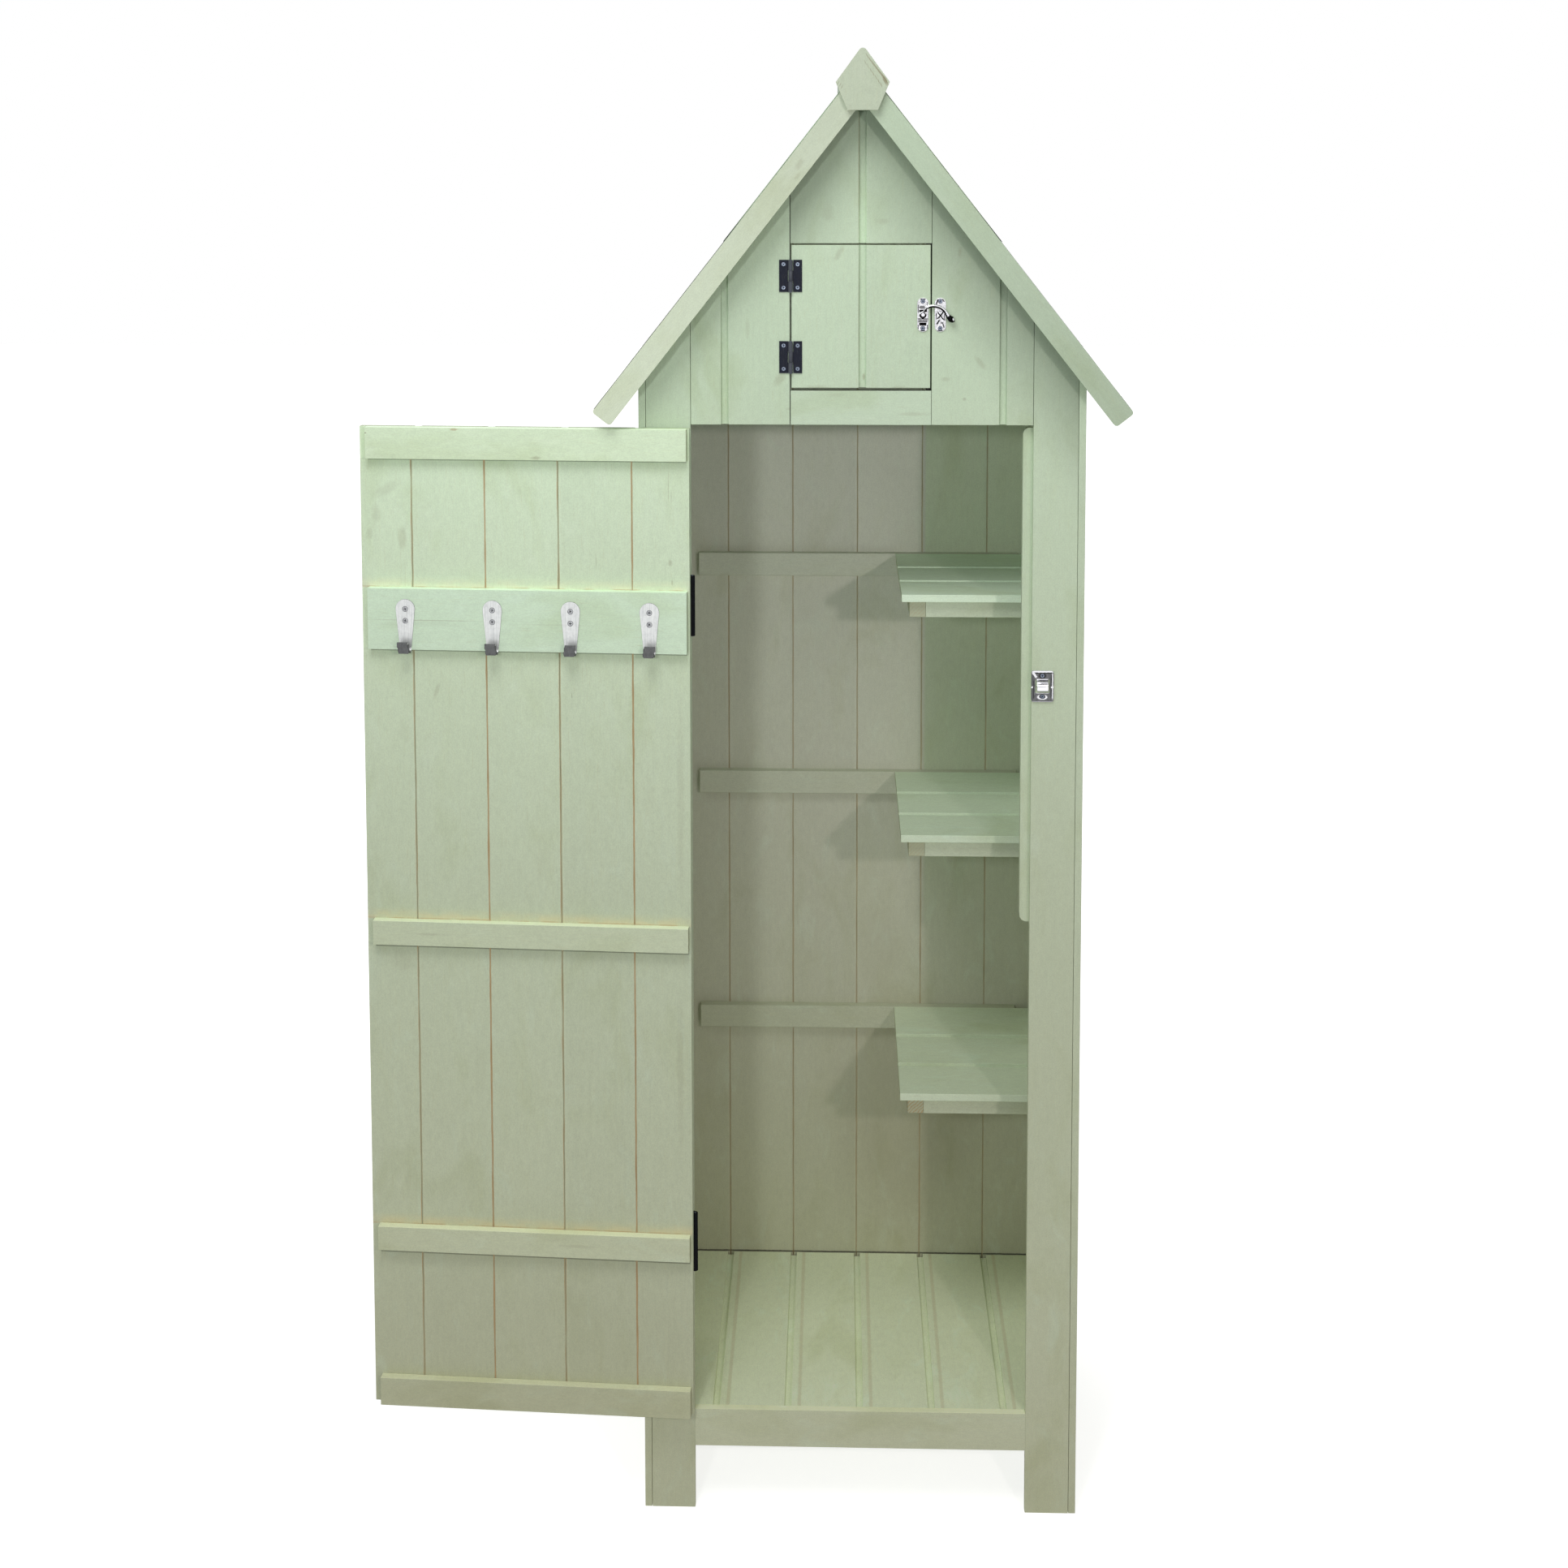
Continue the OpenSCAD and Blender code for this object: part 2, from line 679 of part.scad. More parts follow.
// The arm's outline, seen from in front with its pivot at the origin
arm_w = 3.1;
arch_r = 10.3;
module arm_outline() {
  seat_r = stud_r + 0.4;
  hook_r = seat_r + arm_w;
  lug = [31.5, -5.5];
  difference() {
    union() {
      circle(4.2);
      intersection() {
        translate([arch_r, 0]) circle(arch_r);
        translate([0, 0]) square([latch_span, arch_r]);
      }
      translate([latch_span, 0]) intersection() {
        circle(hook_r);
        translate([-hook_r, 0]) square([2 * hook_r, hook_r]);
      }
      translate([latch_span + seat_r, -5]) square([arm_w, 5.2]);
      translate([latch_span + seat_r + 1, -7]) square([lug[0] - latch_span - seat_r - 1, arm_w]);
      translate(lug) circle(3.6);
    }
    intersection() {
      translate([arch_r, 0]) circle(arch_r - arm_w);
      translate([3.6, -1]) square([latch_span, arch_r]);
    }
    translate([latch_span, 0]) circle(seat_r);
    translate([latch_span - hook_r, -10]) square([hook_r + seat_r, 10]);
    circle(pivot_r + pin_gap);
  }
}

module hatch_latch_arm() {
  lug = [31.5, -5.5];
  color(chrome) placed() on_front(hatch_plate_x, -proud, latch_z) translate([0, 0, plate_t + arm_lift]) {
    linear_extrude(arm_t) arm_outline();
    translate([lug[0], lug[1], arm_t]) cylinder(h = 3, r1 = 3.4, r2 = 2.6);
  }
}

// Door latch: a slotted flap on the door snaps over a bent tongue on the right stile
keeper_x = door_half + keeper_w / 2 - 0.4;
tongue_w = 13;
tongue_r = 8;
tongue_z = plate_t + 6 - tongue_r;
window_w = 17.6;
window_h = 16.4;
keeper_screw_y = 12.6;
module door_keeper() {
  rim = 0.8;
  color(chrome) placed() on_front(keeper_x, 0, keeper_z) {
    difference() {
      linear_extrude(plate_t) rounded_rect(keeper_w, keeper_h, 3);
      translate([0, 0, -1]) linear_extrude(plate_t + 2) square([window_w, window_h], center = true);
      for (s = [-1, 1]) translate([0, s * keeper_screw_y, 0]) screw_hole(screw_head_r, screw_r, plate_t);
    }
    translate([0, 0, plate_t - 0.01]) linear_extrude(rim) difference() {
      rounded_rect(keeper_w, keeper_h, 3);
      rounded_rect(keeper_w - 2.4, keeper_h - 2.4, 2);
    }
    intersection() {
      difference() {
        translate([-tongue_w / 2, 0, tongue_z]) rotate([0, 90, 0]) cylinder(h = tongue_w, r = tongue_r);
        translate([-tongue_w, 0, tongue_z]) rotate([0, 90, 0]) cylinder(h = 2 * tongue_w, r = tongue_r - plate_t);
      }
      translate([-tongue_w, -5.5, 0]) cube([2 * tongue_w, window_h / 2 + 5.5 + 0.5, 20]);
    }
    translate([-tongue_w / 2, window_h / 2 - 1.8, 0]) cube([tongue_w, 2.3, plate_t]);
  }
}

latch_base_w = 24;
flap_len = 38;
flap_w = 26;
flap_barrel_d = 4.4;
flap_knuckle = 12;
module door_latch_base() {
  w = latch_base_w;
  color(chrome) open_door() on_front(flap_axis[0], 0, keeper_z) difference() {
    union() {
      translate([-w - 2.5, 0, proud]) linear_extrude(plate_t) translate([w / 2, 0]) rounded_rect(w, keeper_h, 3);
      for (s = [-1, 1]) translate([0, s * flap_knuckle, 0]) {
        translate([-4, -4, proud]) cube([4, 8, plate_t]);
        translate([0, 4, -flap_axis[1]]) rotate([90, 0, 0]) cylinder(h = 8, d = flap_barrel_d);
      }
    }
    translate([0, keeper_h, -flap_axis[1]]) rotate([90, 0, 0]) cylinder(h = 2 * keeper_h, r = 1.1 + pin_gap);
    for (s = [-1, 1]) translate([-w + 5, s * keeper_screw_y, proud]) screw_hole(screw_head_r, screw_r, plate_t);
  }
}

module door_latch_flap() {
  mid = -flap_axis[1] - plate_t / 2;
  knuckle_h = flap_knuckle - 4 - knuckle_gap;
  slot_x = keeper_x - flap_axis[0];
  color(chrome) open_door() turned_about(flap_axis, -flap_fold) on_front(flap_axis[0], 0, keeper_z) {
    difference() {
      union() {
        translate([0, knuckle_h, -flap_axis[1]]) rotate([90, 0, 0]) cylinder(h = 2 * knuckle_h, d = flap_barrel_d);
        translate([0, -knuckle_h, mid]) cube([4, 2 * knuckle_h, plate_t]);
        translate([3, 0, mid]) linear_extrude(plate_t) translate([flap_len / 2, 0]) rounded_rect(flap_len, flap_w, 3);
        translate([flap_len + 1.8, -flap_w / 2 + 4, mid]) cube([plate_t, flap_w - 8, 4]);
      }
      translate([slot_x, 0, mid - 1]) linear_extrude(plate_t + 2) square([window_w, window_h + 2.6], center = true);
    }
    translate([0, 0, -flap_axis[1]]) rotate([90, 0, 0]) cylinder(h = keeper_h - 5, r = 1.1, center = true);
  }
}

// Door
module door_boards() {
  color(paint) open_door() translate([door_l, -proud, door_z0])
    boards(joints(0, door_w, door_first, cover_w), board_t, door_z1 - door_z0);
}

module door_ledge(z0, w) {
  y0 = board_t - proud;
  block([door_l + ledge_hinge_inset, y0, z0], [door_r - ledge_free_inset, y0 + ledge_t, z0 + w]);
}

module door_ledges() {
  color(paint) open_door() {
    door_ledge(door_z1 - top_ledge_w, top_ledge_w);
    door_ledge(mid_ledge_z, mid_ledge_w);
    door_ledge(low_ledge_z, mid_ledge_w);
    door_ledge(door_z0 + 0.5, foot_ledge_w);
  }
}

module door_hook_rail() {
  color(paint) open_door() door_ledge(hook_rail_z - hook_rail_w, hook_rail_w);
}

// Coat hooks on the hook rail, drawn with the top of the plate at local y = 0
hook_face = board_t - proud + ledge_t;
hook_screw_y = [-11.7, -26];
module coat_hook() {
  r = hook_reach / 2;
  bend_y = r - hook_h;
  round_r = hook_top_w / 2;
  tip_w = hook_low_w - 1.5;
  difference() {
    union() {
      linear_extrude(hook_t) {
        translate([0, -round_r]) circle(round_r);
        polygon([[-round_r, -round_r - 1], [round_r, -round_r - 1], [hook_low_w / 2, bend_y], [-hook_low_w / 2, bend_y]]);
      }
      difference() {
        translate([-hook_low_w / 2, bend_y, r]) rotate([0, 90, 0]) cylinder(h = hook_low_w, r = r);
        translate([-hook_low_w, bend_y, r]) rotate([0, 90, 0]) cylinder(h = 2 * hook_low_w, r = r - hook_t);
        translate([-hook_low_w, bend_y, -1]) cube([2 * hook_low_w, 2 * r, 3 * r]);
      }
      translate([0, bend_y, 2 * r - hook_t]) linear_extrude(hook_t) {
        translate([-tip_w / 2, -0.01]) square([tip_w, hook_tip - r - 3]);
        translate([-tip_w / 2 + 3, 0]) square([tip_w - 6, hook_tip - r]);
        for (s = [-1, 1]) translate([s * (tip_w / 2 - 3), hook_tip - r - 3]) circle(3);
      }
    }
    for (y = hook_screw_y) translate([0, y, 0]) screw_hole(3.2, 1.7, hook_t);
  }
}

module at_hooks() {
  for (u = hook_u) on_inside(door_l + u, hook_face, hook_rail_z - hook_drop) children();
}

module coat_hooks() {
  color(bright_steel) open_door() at_hooks() coat_hook();
}

module hook_screws() {
  color(bright_steel) open_door() at_hooks() for (y = hook_screw_y) translate([0, y, hook_t]) screw(15, 3.2, 1.7);
}

// Screws of the hinges and latches
screw_len = 8;
module plate_screws(places, lift) {
  for (p = places) translate([p[0], p[1], lift]) screw(screw_len, screw_head_r, screw_r);
}

module cabin_screws() {
  left_door = [for (p = door_leaf_holes) [-p[0], p[1]]];
  left_hatch = [for (p = hatch_leaf_holes) [-p[0], p[1]]];
  color(chrome) placed() {
    for (z = door_hinge_z) on_front(door_axis[0], 0, z) plate_screws(left_door, leaf_t);
    for (z = hatch_hinge_z) on_front(hatch_axis[0], 0, z) plate_screws(left_hatch, leaf_t);
    on_front(keeper_plate_x, 0, latch_z) plate_screws([[0, -latch_screw_y], [0, latch_screw_y]], plate_t);
    on_front(keeper_x, 0, keeper_z) plate_screws([[0, -keeper_screw_y], [0, keeper_screw_y]], plate_t);
  }
}

module door_screws() {
  color(chrome) open_door() {
    for (z = door_hinge_z) on_front(door_axis[0], 0, z) plate_screws(door_leaf_holes, leaf_t + proud);
    on_front(flap_axis[0] - latch_base_w + 5, 0, keeper_z)
      plate_screws([[0, -keeper_screw_y], [0, keeper_screw_y]], plate_t + proud);
  }
}

module hatch_screws() {
  color(chrome) placed() {
    for (z = hatch_hinge_z) on_front(hatch_axis[0], 0, z) plate_screws(hatch_leaf_holes, leaf_t + proud);
    on_front(hatch_plate_x, 0, latch_z) plate_screws([[0, -latch_screw_y], [0, latch_screw_y]], plate_t + proud);
  }
}

// Hatch
module hatch_boards() {
  color(paint) placed() translate([0, -proud, hatch_low])
    boards([hatch_l, hatch_x0 + cover_w + 1, hatch_r], board_t, hatch_high - hatch_low);
}

module hatch_battens() {
  y0 = board_t - proud;
  x0 = hatch_l + 8;
  x1 = hatch_r - 8.5;
  color(paint_shade) placed() for (z = [hatch_low + 12, hatch_high - 12 - bearer])
    block([x0, y0, z], [x1, y0 + board_t, z + bearer]);
}

front_stile(-1);  // front_stile_left
front_stile(1);  // front_stile_right
rear_stile(-1);  // rear_stile_left
rear_stile(1);  // rear_stile_right
side_post(-1, 0);  // side_post_front_left
side_post(1, 0);  // side_post_front_right
side_post(-1, body_d - side_post_w);  // side_post_rear_left
side_post(1, body_d - side_post_w);  // side_post_rear_right
front_rail();
floor_boards();
floor_bearers();
side_wall_boards(-1);  // left_wall_boards
side_wall_boards(1);  // right_wall_boards
back_wall_boards();
back_wall_battens();
left_wall_battens();
shelf_cleats();
gable_panel([-door_half + line_gap, -door_half + gable_left_first, hatch_x0], lintel_z);  // gable_boards_left
gable_panel([hatch_x1, hatch_x1 + cover_w, door_half - line_gap], lintel_z);  // gable_boards_right
gable_panel([hatch_x0 + line_gap, hatch_x0 + cover_w + 1, hatch_x1 - line_gap], hatch_top);  // gable_boards_top
gable_sill_board();
gable_battens();
rafters();
shelf(0);  // shelf_lower
shelf(1);  // shelf_middle
shelf(2);  // shelf_upper
shelf_frames();
roof_boards(-1);  // roof_boards_left
roof_boards(1);  // roof_boards_right
roof_felt(-1);  // roof_felt_left
roof_felt(1);  // roof_felt_right
bargeboard(-1, roof_front);  // bargeboard_front_left
bargeboard(1, roof_front);  // bargeboard_front_right
bargeboard(-1, roof_back - barge_t);  // bargeboard_rear_left
bargeboard(1, roof_back - barge_t);  // bargeboard_rear_right
ridge_board(-1);  // ridge_board_left
ridge_board(1);  // ridge_board_right
finial();
door_stop();
door_keeper();
door_hinge_stile_leaves();
hatch_hinge_gable_leaves();
hinge_pins();
hatch_keeper_plate();
cabin_screws();
door_boards();
door_ledges();
door_hook_rail();
coat_hooks();
hook_screws();
door_hinge_leaves();
door_latch_base();
door_screws();
door_latch_flap();
hatch_boards();
hatch_battens();
hatch_hinge_leaves();
hatch_latch_plate();
hatch_screws();
hatch_latch_arm();
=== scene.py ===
"""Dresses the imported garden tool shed: washed pine, roof felt, steel fittings, floor, lamps and camera."""
import logging
import math
from collections.abc import Callable
from dataclasses import dataclass
from enum import Enum

import bpy
from mathutils import Matrix, Vector


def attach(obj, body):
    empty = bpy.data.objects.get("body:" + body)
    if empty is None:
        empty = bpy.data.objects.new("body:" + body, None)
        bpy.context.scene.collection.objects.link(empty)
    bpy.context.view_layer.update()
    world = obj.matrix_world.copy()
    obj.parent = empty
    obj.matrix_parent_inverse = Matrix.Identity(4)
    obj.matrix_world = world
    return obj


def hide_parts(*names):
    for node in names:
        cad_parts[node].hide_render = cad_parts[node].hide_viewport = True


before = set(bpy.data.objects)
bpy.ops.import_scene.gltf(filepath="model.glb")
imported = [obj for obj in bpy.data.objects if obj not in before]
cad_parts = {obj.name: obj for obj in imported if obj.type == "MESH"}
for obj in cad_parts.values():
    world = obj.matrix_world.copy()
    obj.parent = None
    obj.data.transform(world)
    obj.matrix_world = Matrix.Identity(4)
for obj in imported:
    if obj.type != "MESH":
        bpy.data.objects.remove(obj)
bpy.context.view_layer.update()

NODES: dict[str, bpy.types.Object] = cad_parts
LOG = logging.getLogger("shed")
Point = tuple[float, float, float]
Tone = tuple[int, int, int]
QUARTER = math.pi / 2

# The shed's drawing has the middle of its front at x = 0, y = 0; the frame's origin lies under the whole outline
MIDDLE_MM = (-140.78, 175.5)
DOOR_AXIS_MM = (-201.5, -3.8)
DOOR_OPEN = math.radians(182.76)
PITCH = math.radians(52.0)
RIDGE_Z_MM = 1772.4
# The boards: how wide each one shows, how far its joint lies from its start, and where the first one starts
BOARD_MM, JOINT_MM = 88.5, 3.6
BACK_FIRST_MM, DOOR_FIRST_MM = -181.6, -135.0
# The door's bars from the top down: lower edge, upper edge, depth of the shadow under it, glow beside it
BARS_MM = ((1308.0, 1346.0, 3.4, 0.17), (1078.0, 1152.0, 4.6, 0.10), (714.0, 744.0, 6.4, 0.07),
           (329.0, 359.0, 8.2, 0.07))
HATCH_GAP_X_MM = -84.05
MERGE_M = 0.00002


def from_drawing(x: float, y: float, z: float) -> Vector:
    """Gives a drawing point in millimetres as a point of the frame in metres.

    Args:
        x: Millimetres to the right of the front's middle.
        y: Millimetres behind the front.
        z: Millimetres over the ground.

    Returns:
        The point in metres.
    """
    return Vector(((x - MIDDLE_MM[0]) / 1000, (y - MIDDLE_MM[1]) / 1000, z / 1000))


def opened() -> Matrix:
    """Gives the matrix that swings the points of the closed door to where it stands open."""
    axis = from_drawing(*DOOR_AXIS_MM, 0)
    return Matrix.Translation(axis) @ Matrix.Rotation(-DOOR_OPEN, 4, "Z") @ Matrix.Translation(-axis)


def rgb(red: float, green: float, blue: float) -> tuple[float, float, float, float]:
    """Turns a display colour into the linear colour that a shader takes.

    Args:
        red: Red, 0 to 255.
        green: Green, 0 to 255.
        blue: Blue, 0 to 255.

    Returns:
        The linear colour with alpha 1.
    """
    def linear(value: float) -> float:
        """Undoes the display curve for one channel."""
        share = value / 255
        return share / 12.92 if share <= 0.04045 else ((share + 0.055) / 1.055) ** 2.4
    return (linear(red), linear(green), linear(blue), 1.0)


class Grain(Enum):
    """The way the fibres of a board run; the value is the order of axes that puts them last."""

    UP = "XYZ"
    ACROSS = "ZYX"
    DEEP = "XZY"


class Turn(Enum):
    """How a pattern is turned about the three axes before it is laid on a piece."""

    NONE = (0.0, 0.0, 0.0)
    DOOR = (0.0, 0.0, DOOR_OPEN)
    ROOF_LEFT = (0.0, PITCH - QUARTER, 0.0)
    ROOF_RIGHT = (0.0, QUARTER - PITCH, 0.0)


class Side(Enum):
    """One side of the shed; the value is the sign of x."""

    LEFT = -1
    RIGHT = 1

    @property
    def word(self) -> str:
        """Gives the side's name as the nodes have it."""
        return self.name.lower()

    @property
    def turn(self) -> Turn:
        """Gives the turn of a pattern on this side's roof slope."""
        return Turn.ROOF_LEFT if self is Side.LEFT else Turn.ROOF_RIGHT


class Value:
    """A number, point or colour inside a shader graph, which takes part in sums as a plain number does."""

    def __init__(self, graph: "Graph", socket: bpy.types.NodeSocket) -> None:
        """Keeps the graph and the socket that gives the value."""
        self.graph, self.socket = graph, socket

    def __add__(self, other: object) -> "Value":
        """Adds another value."""
        return self.graph.math("ADD", self, other)

    def __sub__(self, other: object) -> "Value":
        """Takes another value away."""
        return self.graph.math("SUBTRACT", self, other)

    def __rsub__(self, other: object) -> "Value":
        """Takes this value away from a plain number."""
        return self.graph.math("SUBTRACT", other, self)

    def __mul__(self, other: object) -> "Value":
        """Multiplies by another value."""
        return self.graph.math("MULTIPLY", self, other)

    def __truediv__(self, other: object) -> "Value":
        """Divides by another value."""
        return self.graph.math("DIVIDE", self, other)

    def __abs__(self) -> "Value":
        """Drops the sign."""
        return self.graph.math("ABSOLUTE", self)

    __radd__ = __add__
    __rmul__ = __mul__


class Graph:
    """Adds and links shader nodes with short calls."""

    def __init__(self, tree: bpy.types.NodeTree) -> None:
        """Keeps the tree that the nodes go into."""
        self.tree = tree

    def put(self, socket: bpy.types.NodeSocket, value: object) -> None:
        """Links a value to an input, or sets the input's own number or colour."""
        if isinstance(value, Value):
            self.tree.links.new(value.socket, socket)
        else:
            socket.default_value = value

    def add(self, kind: str, inputs: dict | None = None, **settings: object) -> bpy.types.Node:
        """Adds one node.

        Args:
            kind: The node's type without its prefix.
            inputs: Values by the input's name or number.
            settings: The node's own settings.

        Returns:
            The new node.
        """
        node = self.tree.nodes.new("ShaderNode" + kind)
        for key, value in settings.items():
            setattr(node, key, value)
        for key, value in (inputs or {}).items():
            self.put(node.inputs[key], value)
        return node

    def get(self, kind: str, inputs: dict | None = None, output: int | str = 0, **settings: object) -> Value:
        """Adds one node as add does, and returns one of its outputs."""
        return Value(self, self.add(kind, inputs, **settings).outputs[output])

    def use(self, group: bpy.types.NodeTree, **inputs: object) -> dict[str, Value]:
        """Adds a node group.

        Args:
            group: The group's tree.
            inputs: Values by the input's name.

        Returns:
            The group's outputs by name.
        """
        node = self.add("Group", inputs, node_tree=group)
        return {socket.name: Value(self, socket) for socket in node.outputs}

    def math(self, operation: str, *values: object, clamp: bool = False) -> Value:
        """Adds a Math node and returns its result."""
        return self.get("Math", dict(enumerate(values)), operation=operation, use_clamp=clamp)

    def most(self, first: object, second: object) -> Value:
        """Gives the larger of two values."""
        return self.math("MAXIMUM", first, second)

    def mix(self, share: object, first: object, second: object, blend: str = "MIX") -> Value:
        """Mixes two colours.

        Args:
            share: How much of the second colour shows.
            first: The first colour.
            second: The second colour.
            blend: Blender's name for the way of mixing.

        Returns:
            The mixed colour.
        """
        return self.get("Mix", {0: share, 6: first, 7: second}, 2, data_type="RGBA", blend_type=blend)

    def fade(self, value: object, low: float, high: float, start: float = 0.0, end: float = 1.0,
             smooth: bool = True) -> Value:
        """Maps a range of one value to another range, held at both ends.

        Args:
            value: The value that is read.
            low: Where the change starts.
            high: Where the change ends.
            start: The result up to low.
            end: The result from high on.
            smooth: Whether the change eases in and out.

        Returns:
            The mapped value.
        """
        return self.get("MapRange", {0: value, 1: low, 2: high, 3: start, 4: end},
                        interpolation_type="SMOOTHSTEP" if smooth else "LINEAR")

    def noise(self, place: Value, size: Point, detail: float = 2.0, rough: float = 0.5, twist: float = 0.0,
              shift: float = 0.0) -> Value:
        """Adds a noise whose lumps have a given size on each axis.

        Args:
            place: The point in millimetres.
            size: The lumps' size on each axis, in millimetres.
            detail: How many finer layers lie on it.
            rough: How strong the finer layers are.
            twist: How much the lumps are warped.
            shift: Moves the whole pattern, to make it another one.

        Returns:
            The noise, about 0.5 on average.
        """
        spot = self.get("Mapping", {0: place, 1: (shift, shift * 0.7, shift * 1.3), 3: tuple(1 / s for s in size)})
        return self.get("TexNoise", {"Vector": spot, "Scale": 1.0, "Detail": detail, "Roughness": rough,
                                     "Distortion": twist})

    def axes(self, place: Value) -> tuple[Value, Value, Value]:
        """Splits a point into its three numbers."""
        x, y, z = self.add("SeparateXYZ", {0: place}).outputs
        return Value(self, x), Value(self, y), Value(self, z)

    def point(self, x: object, y: object, z: object) -> Value:
        """Joins three numbers into a point."""
        return self.get("CombineXYZ", {0: x, 1: y, 2: z})

    def turned(self, u: Value, v: Value, lean: float) -> tuple[Value, Value]:
        """Turns two coordinates by a lean to the right in degrees."""
        if not lean:
            return u, v
        c, n = math.cos(math.radians(lean)), math.sin(math.radians(lean))
        return u * c - v * n, u * n + v * c

    def far(self, u: Value, v: Value) -> Value:
        """Gives how far two coordinates lie from zero."""
        return self.math("SQRT", u * u + v * v)


class Group(Graph):
    """A shader node group with named inputs and outputs."""

    def __init__(self, name: str, inputs: dict[str, object], outputs: dict[str, str]) -> None:
        """Makes the empty group.

        Args:
            name: The group's name.
            inputs: The default of each input by name: a number, or "vector" or "colour".
            outputs: Each output's kind by name: "value", "vector" or "colour".
        """
        super().__init__(bpy.data.node_groups.new(name, "ShaderNodeTree"))
        kinds = {"value": "NodeSocketFloat", "vector": "NodeSocketVector", "colour": "NodeSocketColor"}
        for key, default in inputs.items():
            kind = kinds[default] if isinstance(default, str) else kinds["value"]
            made = self.tree.interface.new_socket(key, in_out="INPUT", socket_type=kind)
            if not isinstance(default, str):
                made.default_value = default
        for key, kind in outputs.items():
            self.tree.interface.new_socket(key, in_out="OUTPUT", socket_type=kinds[kind])
        start = self.tree.nodes.new("NodeGroupInput").outputs
        self.start = {key: Value(self, start[key]) for key in inputs}
        self.end = self.tree.nodes.new("NodeGroupOutput").inputs

    def give(self, **values: Value) -> bpy.types.NodeTree:
        """Links the group's outputs and returns its tree."""
        for key, value in values.items():
            self.put(self.end[key], value)
        return self.tree


